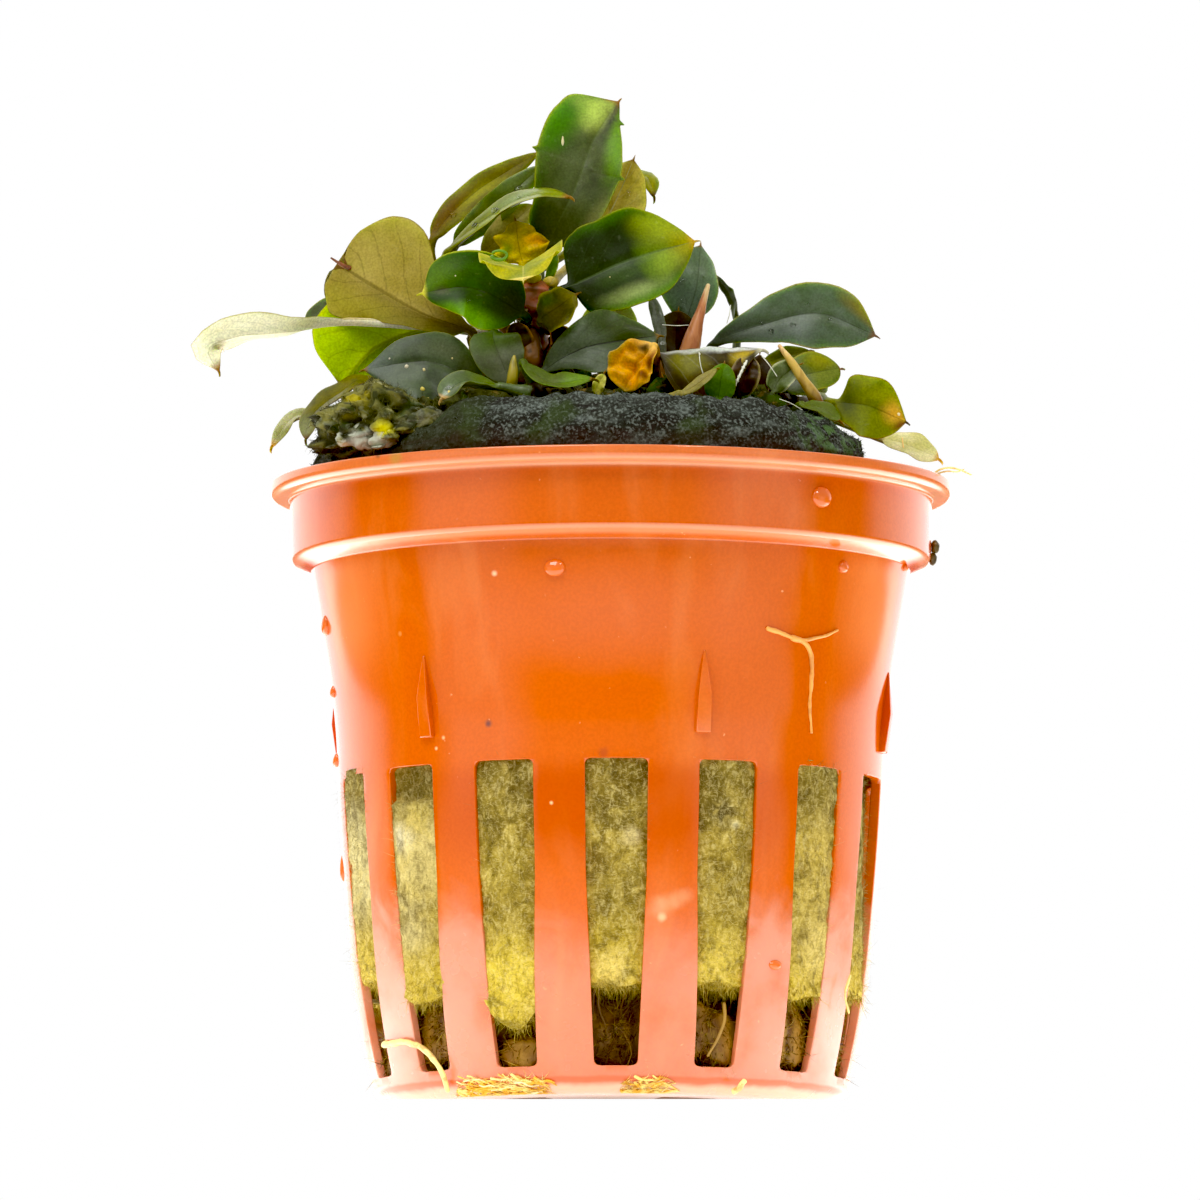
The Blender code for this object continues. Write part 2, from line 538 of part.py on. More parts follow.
slot_outline = [
    (-SLOT_BOTTOM_WIDTH / 2, SLOT_BOTTOM_Z),
    (SLOT_BOTTOM_WIDTH / 2, SLOT_BOTTOM_Z),
    (SLOT_TOP_WIDTH / 2, SLOT_TOP_Z - SLOT_CORNER),
    (SLOT_TOP_WIDTH / 2 - SLOT_CORNER, SLOT_TOP_Z),
    (-SLOT_TOP_WIDTH / 2 + SLOT_CORNER, SLOT_TOP_Z),
    (-SLOT_TOP_WIDTH / 2, SLOT_TOP_Z - SLOT_CORNER),
]
slots = []
for number in range(SLOT_COUNT):
    sx, sy = turn(SLOT_FIRST_DEG + 360 * number / SLOT_COUNT)
    slots.append(
        prism(
            "slot",
            slot_outline,
            12.0,
            lambda u, v, w, sx=sx, sy=sy: (sx * (21 * MM + w) - sy * u, sy * (21 * MM + w) + sx * u, v),
        )
    )
slot_cutter = joined("slot_cutter", slots)

hole_outline = []
for radius, way in ((BASE_HOLE_INNER, 1), (BASE_HOLE_OUTER, -1)):
    for step in range(7):
        angle = math.radians(way * (step / 6 - 0.5) * BASE_HOLE_SPAN_DEG)
        hole_outline.append((radius * math.cos(angle), radius * math.sin(angle)))
holes = []
for number in range(BASE_HOLE_COUNT):
    sx, sy = turn(BASE_HOLE_FIRST_DEG + 360 * number / BASE_HOLE_COUNT)
    holes.append(
        prism(
            "hole",
            hole_outline,
            6.0,
            lambda u, v, w, sx=sx, sy=sy: (sx * u - sy * v, sy * u + sx * v, w),
        )
    )
hole_cutter = joined("hole_cutter", holes)

nubs = []
for number in range(NUB_COUNT):
    sx, sy = turn(NUB_FIRST_DEG + 360 * number / NUB_COUNT)
    nubs.append(
        prism(
            "nub",
            NUB_PROFILE,
            NUB_WIDTH,
            lambda u, v, w, sx=sx, sy=sy: (sx * u - sy * w, sy * u + sx * w, v),
        )
    )
nub_adder = joined("nub_adder", nubs)

for helper, operation in ((slot_cutter, "DIFFERENCE"), (hole_cutter, "DIFFERENCE"), (nub_adder, "UNION")):
    cutters.objects.link(helper)
    helper.hide_render = True
    helper.display_type = "WIRE"
    cut = pot.modifiers.new(helper.name, "BOOLEAN")
    cut.operation = operation
    cut.object = helper
    cut.solver = "EXACT"

# Rock wool plug, the loose lump on it, and the root mass below it

keep(loft("wool_plug", wool_rings()), COLOURS["wool"], plant)

root_rings = []
for z, radius in ROOT_RINGS:
    ring = []
    for k in range(ROOT_SIDES):
        sx, sy = turn(360 * k / ROOT_SIDES)
        wave = 1 + 0.03 * math.sin(3 * k + z)
        ring.append((sx * radius * wave, sy * radius * wave, z))
    root_rings.append(ring)
keep(loft("root_mass", root_rings), COLOURS["root"], plant)

lump_rings = []
for z, radius in ((-0.92, 0.38), (-0.55, 0.84), (0.0, 1.0), (0.5, 0.86), (0.9, 0.42)):
    ring = []
    for k in range(12):
        sx, sy = turn(30 * k)
        wave = 1 + 0.05 * math.sin(2.3 * k + 4 * z)
        ring.append(
            (
                LUMP_CENTRE[0] + LUMP_RADII[0] * radius * wave * sx,
                LUMP_CENTRE[1] + LUMP_RADII[1] * radius * wave * sy,
                LUMP_CENTRE[2] + LUMP_RADII[2] * z,
            )
        )
    lump_rings.append(ring)
keep(loft("wool_lump", lump_rings), COLOURS["lump"], plant)

# Rhizomes, stems and buds

for name, points in RHIZOMES:
    keep(tube(name, points), COLOURS["rhizome"], plant)
for name, points in BUDS:
    keep(tube(name, points), COLOURS["bud"], plant)

# Leaves, each one piece from the foot of its stalk to the tip of its blade

for name, *shape in LEAVES:
    keep(loft(name, leaf_rings(*shape)), COLOURS["leaf"], plant)
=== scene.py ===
"""A potted aquarium plant in a slotted plastic pot, dressed piece by piece around its measured model.

Metres, +Z up. The origin is the centre of the pot's flat base, and the front of the plant faces -Y.
"""

import math

import bmesh
import bpy
import numpy as np
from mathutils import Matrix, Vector, noise


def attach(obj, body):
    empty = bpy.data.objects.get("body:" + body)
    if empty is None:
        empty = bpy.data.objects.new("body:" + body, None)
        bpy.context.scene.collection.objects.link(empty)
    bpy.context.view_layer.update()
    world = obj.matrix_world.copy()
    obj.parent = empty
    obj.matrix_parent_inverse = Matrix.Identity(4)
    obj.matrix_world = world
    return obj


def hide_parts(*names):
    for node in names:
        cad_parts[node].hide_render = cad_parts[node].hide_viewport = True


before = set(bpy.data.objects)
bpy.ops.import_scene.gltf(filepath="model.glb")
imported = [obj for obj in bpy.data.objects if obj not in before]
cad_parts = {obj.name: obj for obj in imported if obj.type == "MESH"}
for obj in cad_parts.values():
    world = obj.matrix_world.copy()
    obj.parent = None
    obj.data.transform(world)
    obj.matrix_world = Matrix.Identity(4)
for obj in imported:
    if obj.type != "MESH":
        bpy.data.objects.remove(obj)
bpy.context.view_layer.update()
MM = 0.001

# Studio: a pale glowing table, white surroundings with a darker gap at each side, and a soft light
# overhead. The table is see-through from underneath, because the picture is taken from just below the level
# that the pot stands on, with a long lens a metre away.

CAMERA_PLACE = (0.0, -1.0, -0.069)
CAMERA_TARGET = (-0.0009, 0.0, 0.0411)
CAMERA_LENS_MM = 374.5
TABLE_SIZE = 6.0
TABLE_EDGE_Y = -0.0125
TABLE_GLOW_REACH = (0.25, 0.105)
TABLE_GLOW = (0.05, 2.1)
SIDE_PANEL = 0.6
TABLE_SHADE_REACH = (0.006, 0.028)


def tint(colour):
    """A display colour, 0 to 255, as the linear colour that a shader takes. A wired colour stays as it is."""
    if isinstance(colour, bpy.types.NodeSocket):
        return colour
    return (*[((v / 255 + 0.055) / 1.055) ** 2.4 if v > 10 else v / 3294.6 for v in colour], 1.0)


def add(tree, kind, options=None, inputs=None):
    """A shader node with its options set, and its sockets filled in or wired to another node's output."""
    made = tree.nodes.new("ShaderNode" + kind)
    for name, value in (options or {}).items():
        setattr(made, name, value)
    for key, value in (inputs or {}).items():
        if isinstance(value, bpy.types.NodeSocket):
            tree.links.new(value, made.inputs[key])
        else:
            made.inputs[key].default_value = value
    return made


def owner(*values):
    """The node tree that the first wired one of these values is in."""
    return next(v.id_data for v in values if isinstance(v, bpy.types.NodeSocket))


def calc(operation, first, second=0.0, third=0.0):
    """One sum on one, two or three numbers."""
    inputs = {0: first, 1: second, 2: third}
    return add(owner(first, second, third), "Math", {"operation": operation}, inputs).outputs[0]


def times(first, second):
    """The product of two numbers."""
    return calc("MULTIPLY", first, second)


def scaled(value, scale, start):
    """The value times the scale, plus the start."""
    return calc("MULTIPLY_ADD", value, scale, start)


def ramp(value, low, high):
    """0 at low and 1 at high, with a smooth rise between. Low may be the larger one."""
    inputs = {0: value, 1: low, 2: high}
    return add(owner(value), "MapRange", {"interpolation_type": "SMOOTHSTEP"}, inputs).outputs[0]


def mix(share, first, second):
    """The first colour, turning into the second as the share rises to 1."""
    inputs = {0: share, 6: tint(first), 7: tint(second)}
    return add(owner(share, first, second), "Mix", {"data_type": "RGBA"}, inputs).outputs[2]


def split(vector):
    """The three numbers of a vector."""
    return add(owner(vector), "SeparateXYZ", None, {0: vector}).outputs


camera = bpy.data.objects.new("camera", bpy.data.cameras.new("camera"))
camera.data.lens = CAMERA_LENS_MM
camera.data.sensor_width = 36
camera.data.clip_start = 0.05
camera.location = CAMERA_PLACE
camera.rotation_euler = (Vector(CAMERA_TARGET) - Vector(CAMERA_PLACE)).to_track_quat("-Z", "Y").to_euler()
bpy.context.scene.collection.objects.link(camera)
bpy.context.scene.camera = camera
developed = bpy.context.scene.view_settings
developed.view_transform = "Standard"
developed.use_curve_mapping = True
developed.curve_mapping.black_level = (0.010, 0.011, 0.016)
developed.curve_mapping.update()

world = bpy.data.worlds.new("surroundings")
bpy.context.scene.world = world
world.use_nodes = True
tree = world.node_tree
way = split(add(tree, "TexCoord").outputs["Generated"])
behind = ramp(way[1], 0.05, 0.82)
sideways = calc("ABSOLUTE", way[0])
front_glow = scaled(ramp(way[2], 0.15, 0.75), 0.30, 0.34)
back_glow = times(behind, 1.55)
side_gap = ramp(sideways, 0.92, 0.98)
low_band = ramp(calc("ABSOLUTE", way[2]), 0.40, 0.10)
panel = times(ramp(sideways, 0.45, 0.75), ramp(way[1], -0.10, -0.26))
front_glow = scaled(times(panel, low_band), SIDE_PANEL, front_glow)
gap = times(side_gap, low_band)
glow = calc("ADD", front_glow, back_glow)
glow = times(glow, scaled(gap, -0.75, 1.0))
seen = add(tree, "LightPath").outputs["Is Camera Ray"]
strength = add(tree, "Mix", None, {0: seen, 2: glow, 3: 1.0}).outputs[0]
background = tree.nodes["Background"]
background.inputs[0].default_value = (1, 1, 1, 1)
tree.links.new(strength, background.inputs[1])

bpy.ops.mesh.primitive_plane_add(size=TABLE_SIZE, location=(0, 0, -0.00005))
table = bpy.context.object
table.name = "table"
paper = bpy.data.materials.new("table_paper")
paper.use_nodes = True
tree = paper.node_tree
matt = tree.nodes["Principled BSDF"]
matt.inputs["Base Color"].default_value = (0.86, 0.86, 0.86, 1)
matt.inputs["Roughness"].default_value = 0.8
spot = add(tree, "TexCoord").outputs["Object"]
aside, depth, _ = split(spot)
offset = calc("ABSOLUTE", aside)
beside = ramp(offset, 0.11, 0.17)
level = ramp(calc("ABSOLUTE", depth), 0.10, 0.05)
away = add(tree, "VectorMath", {"operation": "LENGTH"}, {0: spot}).outputs[1]
near = times(ramp(away, *TABLE_GLOW_REACH), ramp(away, *TABLE_SHADE_REACH))
power = scaled(near, TABLE_GLOW[1] - TABLE_GLOW[0], TABLE_GLOW[0])
turned = calc("DIVIDE", offset, away)
panel = times(ramp(turned, 0.45, 0.75), ramp(calc("DIVIDE", depth, away), -0.10, -0.26))
panel = times(panel, ramp(away, 0.14, 0.26))
power = scaled(panel, SIDE_PANEL, power)
power = times(power, scaled(ramp(depth, -0.03, 0.02), 1.1, 1.0))
power = times(power, scaled(times(beside, level), -0.85, 1.0))
shine = add(tree, "Emission", None, {0: (1, 1, 1, 1), 1: power}).outputs[0]
path = add(tree, "LightPath")
lit = add(
    tree, "MixShader", None, {0: path.outputs["Is Camera Ray"], 1: shine, 2: matt.outputs[0]}
).outputs[0]
open_way = add(tree, "BsdfTransparent").outputs[0]
white = add(tree, "Emission", None, {0: (1, 1, 1, 1), 1: 1.0}).outputs[0]
covered = times(path.outputs["Is Camera Ray"], calc("GREATER_THAN", depth, TABLE_EDGE_Y))
below = add(tree, "MixShader", None, {0: covered, 1: open_way, 2: white}).outputs[0]
under = add(tree, "NewGeometry").outputs["Backfacing"]
both = add(tree, "MixShader", None, {0: under, 1: lit, 2: below}).outputs[0]
both = add(tree, "MixShader", None, {0: path.outputs["Is Shadow Ray"], 1: both, 2: open_way}).outputs[0]
tree.links.new(both, tree.nodes["Material Output"].inputs[0])
table.data.materials.append(paper)

for name, place, size, watts in (
    ("soft_light", (-0.30, -0.50, 0.80), 0.55, 6.4),
    ("small_light", (0.26, -0.42, 0.50), 0.10, 0.6),
):
    lamp = bpy.data.lights.new(name, "AREA")
    lamp.size = size
    lamp.energy = watts
    holder = bpy.data.objects.new(name, lamp)
    holder.location = place
    holder.rotation_euler = (Vector((0, 0, 0.05)) - Vector(place)).to_track_quat("-Z", "Y").to_euler()
    bpy.context.scene.collection.objects.link(holder)

# Pot: one moulding in terracotta-coloured plastic, with a flat lip, a stepped collar, fifteen side slots,
# four openings in the base and six small wedge ribs. It is turned from its section as a grid of rings, so
# that every slot edge lies on the grid, and its sharp edges are then bevelled as a mould leaves them.

POT_WALL_INSIDE = ((1.0, 4.2, 9.0, 16.8, 24.9, 30.0, 43.6), (18.1, 18.9, 19.7, 20.5, 21.1, 21.4, 23.2))
POT_WALL_OUTSIDE = ((1.05, 4.0, 9.0, 16.8, 24.9, 30.0, 43.4), (18.9, 19.6, 20.5, 21.3, 21.9, 22.1, 24.1))
POT_RIM = [
    (23.2, 43.4, 0.3), (24.9, 44.5, 0.2), (25.1, 50.4, 0.3), (27.5, 50.4, 0.18), (27.5, 49.2, 0.68),
    (25.9, 49.2, 0.3), (25.8, 44.1, 0.42), (24.1, 43.4, 0.35),
]
POT_FOOT = [(19.05, 1.2, 0.3), (17.7, 0.0, 0.6)]
SLOT_COUNT = 15
SLOT_FIRST_DEG = 1.1
SLOT_SPAN_Z = (2.15, 26.2)
SLOT_WIDTH_LEVELS = (2.15, 8.6, 17.5, 26.2)
SLOT_HALF_WIDTHS = (1.70, 2.0, 2.4, 2.48)
SLOT_CORNER = 0.45
SLOT_COLUMNS = 8
BASE_HOLE_FIRST_DEG = 42.0
BASE_HOLE_RADII = (9.5, 10.75, 12.0, 13.25, 14.5)
BASE_HOLE_SPAN_DEG = 52.0
NUB_FIRST_DEG = 19.0
NUB_LEVELS = (28.3, 31.4, 34.8)
NUB_WIDTHS = (1.25, 1.15, 0.2)
NUB_SECTION = [(21.9, 34.8), (22.72, 34.8), (22.92, 31.4), (22.45, 28.3), (21.6, 28.3)]
EDGE_ROUND = 0.13
# Painted highlights: heights of a thin pale line along the ledge's edge and the lip's lower edge.
POT_PAINTED_EDGE_HIGHLIGHTS_Z = (0.0440, 0.0492)
PATCH_FRAY = 1.1
PATCH_FADE = (1.9, 0.7)
# Painted light and shade at the foot: a deeper orange band about 1.4 mm up and a pale salmon band about 0.6
# mm up, for how the glowing table lights the foot.
POT_FOOT_PAINTED_LIGHT = ((0.0014, 0.00024, 0.80, (212, 92, 34)), (0.0006, 0.0004, 0.80, (246, 196, 160)))
POT_PATCHES = (
    ((3.7, -20.8, 14.5), 0.85, (246, 190, 140), 0.22), ((4.4, -20.6, 14.8), 0.85, (246, 190, 140), 0.24),
    ((5.2, -20.4, 15.2), 0.80, (246, 190, 140), 0.22), ((5.9, -20.2, 15.6), 0.65, (246, 190, 140), 0.16),
    # Painted shade: the wide dark patch on the left of the collar, at (-23.4, -11.3, 46.6), tones down the
    # bright reflection there.
    ((4.0, -20.7, 13.7), 0.38, (250, 204, 150), 0.6), ((-23.4, -11.3, 46.6), 3.0, (196, 70, 0), 0.4),
    ((-17.0, -21.4, 50.0), 0.7, (170, 146, 60), 0.5), ((-18.4, -20.3, 50.4), 0.3, (96, 60, 20), 0.7),
    ((-9.7, -19.85, 29.1), 0.35, (72, 52, 60), 0.8), ((-17.0, -15.9, 36.6), 0.35, (252, 212, 120), 0.9),
    ((-9.2, -21.8, 40.8), 0.25, (254, 208, 160), 0.8), ((-13.3, -17.6, 28.2), 0.2, (254, 208, 150), 0.9),
    ((-13.9, -17.1, 27.4), 0.16, (254, 208, 150), 0.9), ((-4.7, -21.2, 22.7), 0.18, (254, 214, 150), 0.9),
    ((-0.6, -21.9, 26.6), 0.5, (150, 60, 40), 0.5),
)


def turn(deg):
    """The direction on the ground at this angle from the front, turning to the right."""
    return math.sin(math.radians(deg)), -math.cos(math.radians(deg))


def through(knots, values, at):
    """A smooth curve through the values at the knots, read at each place."""
    knots = np.asarray(knots, float)
    values = np.asarray(values, float)
    slopes = np.gradient(values, knots)
    k = np.clip(np.searchsorted(knots, at, side="right") - 1, 0, len(knots) - 2)
    span = knots[k + 1] - knots[k]
    t = np.clip((np.asarray(at, float) - knots[k]) / span, 0, 1)
    return (
        (2 * t**3 - 3 * t**2 + 1) * values[k]
        + (t**3 - 2 * t**2 + t) * span * slopes[k]
        + (3 * t**2 - 2 * t**3) * values[k + 1]
        + (t**3 - t**2) * span * slopes[k + 1]
    )


def rounded(corners):
    """The points of an open outline whose corners, each given with a radius, are eased by a short curve."""
    made = []
    for k, (x, y, radius) in enumerate(corners):
        here = np.array((x, y))
        if k in (0, len(corners) - 1):
            made.append(here)
            continue
        back = np.array(corners[k - 1][:2]) - here
        on = np.array(corners[k + 1][:2]) - here
        start = here + back * radius / np.linalg.norm(back)
        stop = here + on * radius / np.linalg.norm(on)
        made += [(1 - t) ** 2 * start + 2 * t * (1 - t) * here + t * t * stop for t in np.linspace(0, 1, 5)]
    return made


def speckle(place, scale, detail=2.0, warp=0.0):
    """Cloudy noise from 0 to 1. The scale is in features a metre."""
    inputs = {"Vector": place, "Scale": scale, "Detail": detail, "Distortion": warp}
    return add(owner(place), "TexNoise", None, inputs).outputs["Fac"]


def stretched(place, x, y, z):
    """The place with each direction scaled, so that noise read there runs in streaks."""
    return add(owner(place), "Mapping", None, {"Vector": place, "Scale": (x, y, z)}).outputs[0]


def laid(colour, where, share, shade):
    """The colour with this share of another laid over it where the mask is 1."""
    return mix(times(where, share), colour, shade)


def patched(place, cloud, colour, patches):
    """The colour with soft-edged patches, each of them a place and a reach in mm, a colour and a share."""
    for middle, reach, patch, share in patches:
        inputs = {0: place, 1: [v * MM for v in middle]}
        gone = add(owner(place), "VectorMath", {"operation": "DISTANCE"}, inputs).outputs["Value"]
        gone = scaled(cloud, PATCH_FRAY * reach * MM, gone)
        faded, full = PATCH_FADE
        colour = laid(colour, ramp(gone, faded * reach * MM, full * reach * MM), share, patch)
    return colour


def finish(name, roughness):
    """A new material with its surface shader, the place on the piece, and the three marks there."""
    made = bpy.data.materials.new(name)
    made.use_nodes = True
    tree = made.node_tree
    shader = tree.nodes["Principled BSDF"]
    shader.inputs["Roughness"].default_value = roughness
    place = add(tree, "TexCoord").outputs["Object"]
    return made, shader, place, split(add(tree, "Attribute", {"attribute_name": "mark"}).outputs["Vector"])


def wire(shader, name, value):
    """Wires a value to one of the shader's inputs."""
    shader.id_data.links.new(value, shader.inputs[name])


def cover(shader, colour, specular=0.5):
    """Gives the shader its colour, and how much it mirrors."""
    if isinstance(colour, bpy.types.NodeSocket):
        wire(shader, "Base Color", colour)
    else:
        shader.inputs["Base Color"].default_value = tint(colour)
    shader.inputs["Specular IOR Level"].default_value = specular


def let_light_in(shader, share, reach, depth_mm):
    """Lets light into the surface and out again near by, in this share."""
    shader.inputs["Subsurface Weight"].default_value = share
    shader.inputs["Subsurface Radius"].default_value = reach
    shader.inputs["Subsurface Scale"].default_value = depth_mm * MM


def relief(shader, height, strength, depth_mm):
    """Fine relief on a surface, from a height between 0 and 1."""
    inputs = {"Height": height, "Strength": strength, "Distance": depth_mm * MM}
    wire(shader, "Normal", add(owner(height), "Bump", None, inputs).outputs[0])


class Shape:
    """Points in millimetres, faces and marks of one piece, gathered before its mesh is made.

    A mark is three numbers at a point, which the piece's material reads."""

    def __init__(self):
        self.points = []
        self.faces = []
        self.marks = []
        self.count = 0

    def add(self, points, faces, marks=(0.0, 0.0, 0.0)):
        points = np.asarray(points, float).reshape(-1, 3)
        self.points.append(points)
        self.marks.append(np.broadcast_to(np.asarray(marks, float), points.shape))
        self.faces += [[v + self.count for v in face] for face in faces]
        self.count += len(points)

    def make(self, name, material):
        mesh = bpy.data.meshes.new(name)
        mesh.from_pydata((np.vstack(self.points) * MM).tolist(), [], self.faces)
        mesh.attributes.new("mark", "FLOAT_VECTOR", "POINT").data.foreach_set(
            "vector", np.vstack(self.marks).astype(np.float32).ravel()
        )
        mesh.materials.append(material)
        mesh.shade_smooth()
        made = bpy.data.objects.new(name, mesh)
        bpy.context.scene.collection.objects.link(made)
        return made


def settle(piece, slot, *nodes):
    """Fixes the piece to the plant's one body, and hides the plain solids it stands for. The slot is not
    used.
    """
    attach(piece, "root")
    if nodes:
        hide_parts(*nodes)
    return piece


def turned_outwards(piece):
    """Makes all the faces of a closed piece point outwards."""
    shell = bmesh.new()
    shell.from_mesh(piece.data)
    bmesh.ops.recalc_face_normals(shell, faces=shell.faces)
    shell.to_mesh(piece.data)
    shell.free()


def slot_half(z, cut):
    """Half a slot's width at this height, less what its round corners take where the slot is cut."""
    half = np.interp(z, SLOT_WIDTH_LEVELS, SLOT_HALF_WIDTHS)
    for end in SLOT_SPAN_Z:
        reach = SLOT_CORNER - abs(z - end)
        if cut and reach > 0:
            half -= SLOT_CORNER - math.sqrt(SLOT_CORNER**2 - reach**2)
    return half


corner_steps = [SLOT_CORNER * (1 - math.sin(math.radians(a))) for a in (90, 67.5, 45, 22.5, 0)]
slot_levels = [SLOT_SPAN_Z[0] + s for s in corner_steps]
slot_levels += list(np.linspace(3.6, 24.4, 15))
slot_levels += [SLOT_SPAN_Z[1] - s for s in reversed(corner_steps)]
upper_levels = list(np.linspace(27.2, 42.4, 11))

rings = []
paired = {"slot": ([], []), "base": ([], [])}


def ring(radius, z, pair=None, surface=0):
    """Adds one ring of the pot's section. Rings of a pair lie on both sides of the same opening."""
    if pair:
        paired[pair][surface].append(len(rings))
    rings.append((float(radius), float(z), pair == "slot"))


for radius in (0.8, 4.0, 7.0):
    ring(radius, 0.9)
for radius in BASE_HOLE_RADII:
    ring(radius, 0.9, "base", 0)
for radius, z in ((16.4, 0.9), (17.5, 0.98), (18.1, 1.3)):
    ring(radius, z)
for z in slot_levels:
    ring(through(*POT_WALL_INSIDE, z), z, "slot", 0)
for z in upper_levels:
    ring(through(*POT_WALL_INSIDE, z), z)
for radius, z in rounded(POT_RIM):
    ring(radius, z)
for z in upper_levels[::-1]:
    ring(through(*POT_WALL_OUTSIDE, z), z)
for z in slot_levels[::-1]:
    ring(through(*POT_WALL_OUTSIDE, z), z, "slot", 1)
for radius, z in rounded([(19.05, 1.6, 0)] + POT_FOOT + [(15.4, 0.0, 0)])[1:]:
    ring(radius, z)
for radius in BASE_HOLE_RADII[::-1]:
    ring(radius, 0.0, "base", 1)
for radius in (7.0, 4.0, 0.8):
    ring(radius, 0.0)
paired["slot"][1].reverse()
paired["base"][1].reverse()

SECTOR_DEG = 360 / SLOT_COUNT
SECTOR_COLUMNS = 2 * SLOT_COLUMNS
pot_columns = SLOT_COUNT * SECTOR_COLUMNS


def column_deg(column, radius, z, cut):
    """The angle of a column where it crosses a ring: columns run along the slots' edges."""
    sector, place = divmod(column, SECTOR_COLUMNS)
    edge = math.degrees(math.asin(slot_half(z, cut) / max(radius, 18.0)))
    if place <= SLOT_COLUMNS:
        inside = edge * (2 * place / SLOT_COLUMNS - 1)
    else:
        inside = edge + (SECTOR_DEG - 2 * edge) * (place - SLOT_COLUMNS) / SLOT_COLUMNS
    return SLOT_FIRST_DEG + SECTOR_DEG * sector + inside


pot_points = []
for radius, z, cut in rings:
    for column in range(pot_columns):
        deg = column_deg(column, radius, z, cut)
        sx, sy = turn(deg)
        out = radius + 0.02 * math.sin(math.radians(3 * deg + 40)) + 0.012 * math.sin(math.radians(11 * deg))
        pot_points.append((out * sx, out * sy, z))


def is_base_hole(column):
    """True if this column of the base lies over one of its four openings."""
    middle = (column_deg(column, 12, 0, False) + column_deg(column + 1, 12, 0, False)) / 2
    from_hole = (middle - BASE_HOLE_FIRST_DEG + 45) % 90 - 45
    return abs(from_hole) < BASE_HOLE_SPAN_DEG / 2


openings = {
    "slot": {
        (k, SECTOR_COLUMNS * sector + column)
        for k in range(len(slot_levels) - 1)
        for sector in range(SLOT_COUNT)
        for column in range(SLOT_COLUMNS)
    },
    "base": {
        (k, column)
        for k in range(len(BASE_HOLE_RADII) - 1)
        for column in range(pot_columns)
        if is_base_hole(column)
    },
}
removed = set()
for pair, cells in openings.items():
    for k, column in cells:
        for surface in paired[pair]:
            removed.add((min(surface[k], surface[k + 1]), column))


def corner(row, column):
    return row * pot_columns + column % pot_columns


pot_faces = []
for row in range(len(rings) - 1):
    for column in range(pot_columns):
        if (row, column) not in removed:
            pot_faces.append(
                [
                    corner(row, column), corner(row, column + 1), corner(row + 1, column + 1),
                    corner(row + 1, column),
                ]
            )
for pair, cells in openings.items():
    inner, outer = paired[pair]
    for k, column in cells:
        for away, one, two in (
            ((k - 1, column), (k, column), (k, column + 1)),
            ((k + 1, column), (k + 1, column), (k + 1, column + 1)),
            ((k, (column - 1) % pot_columns), (k, column), (k + 1, column)),
            ((k, (column + 1) % pot_columns), (k, column + 1), (k + 1, column + 1)),
        ):
            if away not in cells:
                pot_faces.append(
                    [
                        corner(inner[one[0]], one[1]),
                        corner(inner[two[0]], two[1]),
                        corner(outer[two[0]], two[1]),
                        corner(outer[one[0]], one[1]),
                    ]
                )
pot_faces.append(list(range(pot_columns)))
pot_faces.append(list(range((len(rings) - 1) * pot_columns, len(rings) * pot_columns)))

plastic, shader, place, _ = finish("terracotta_plastic", 0.34)
sideways, inward, height = split(place)
colour = mix(speckle(place, 90, 3), (214, 98, 16), (206, 91, 11))
colour = laid(colour, ramp(speckle(place, 4200, 2), 0.30, 0.70), 0.28, (176, 70, 2))
stain = ramp(speckle(stretched(place, 1, 1, 0.25), 260, 4, 0.6), 0.48, 0.78)
colour = laid(colour, stain, 0.26, (232, 140, 76))
aside = calc("ABSOLUTE", sideways)
side_share = ramp(aside, 0.003, 0.017)
# Painted shade: the front wall from about 17 to 27 mm up is darkened to a deeper orange, for the darker light
# and reflection there.
painted_dark_band = times(ramp(height, 0.0268, 0.0245), ramp(height, 0.0165, 0.0215))
painted_dark_band = times(painted_dark_band, ramp(aside, 0.020, 0.009))
colour = laid(colour, painted_dark_band, 0.5, (176, 60, 0))
# Painted reflection: the lower wall turns pale pink below about 14 to 19 mm, more towards the sides, for the
# glare of the bright table below. The same zone is also made rougher.
painted_glare_edge = scaled(speckle(place, 300, 4, 0.8), 0.008, height)
painted_glare_edge = scaled(side_share, -0.0028, painted_glare_edge)
painted_glare_zone = times(ramp(painted_glare_edge, 0.0190, 0.0135), ramp(speckle(place, 220, 4), 0.10, 0.60))
colour = laid(colour, painted_glare_zone, scaled(side_share, 0.28, 0.20), (234, 180, 158))
# Painted light: the wall's sides between about 32 and 44 mm up are lightened, for the brighter light that
# they catch.
painted_side_light = times(ramp(aside, 0.0165, 0.0215), ramp(height, 0.032, 0.038))
painted_side_light = times(painted_side_light, ramp(height, 0.0445, 0.0420))
colour = laid(colour, painted_side_light, 0.45, (250, 152, 88))
# Painted shade: where the wall turns away at the left and right, below the lip, it is darkened to a deep
# orange.
aside_squared = times(aside, aside)
turned_away = calc("DIVIDE", aside_squared, scaled(inward, inward, aside_squared))
painted_dark_flank = times(ramp(turned_away, 0.90, 0.97), ramp(height, 0.0480, 0.0470))
leaning = scaled(sideways, -0.25, height)
painted_dark_flank = times(painted_dark_flank, ramp(leaning, 0.0225, 0.0255))
colour = laid(colour, painted_dark_flank, 0.85, (196, 68, 0))
# Painted light and shade: the two bands round the foot.
foot_z = scaled(speckle(place, 330, 3), 0.0006, height)
for middle, reach, share, shade in POT_FOOT_PAINTED_LIGHT:
    off = calc("ABSOLUTE", calc("SUBTRACT", foot_z, middle))
    colour = laid(colour, ramp(off, 1.6 * reach, 0.4 * reach), share, shade)
# Painted light: the lip above 48.5 mm is a little paler, for the light that it catches from below.
colour = laid(colour, ramp(height, 0.0485, 0.0492), 0.12, (250, 190, 140))
colour = patched(place, speckle(place, 700, 3), colour, POT_PATCHES)
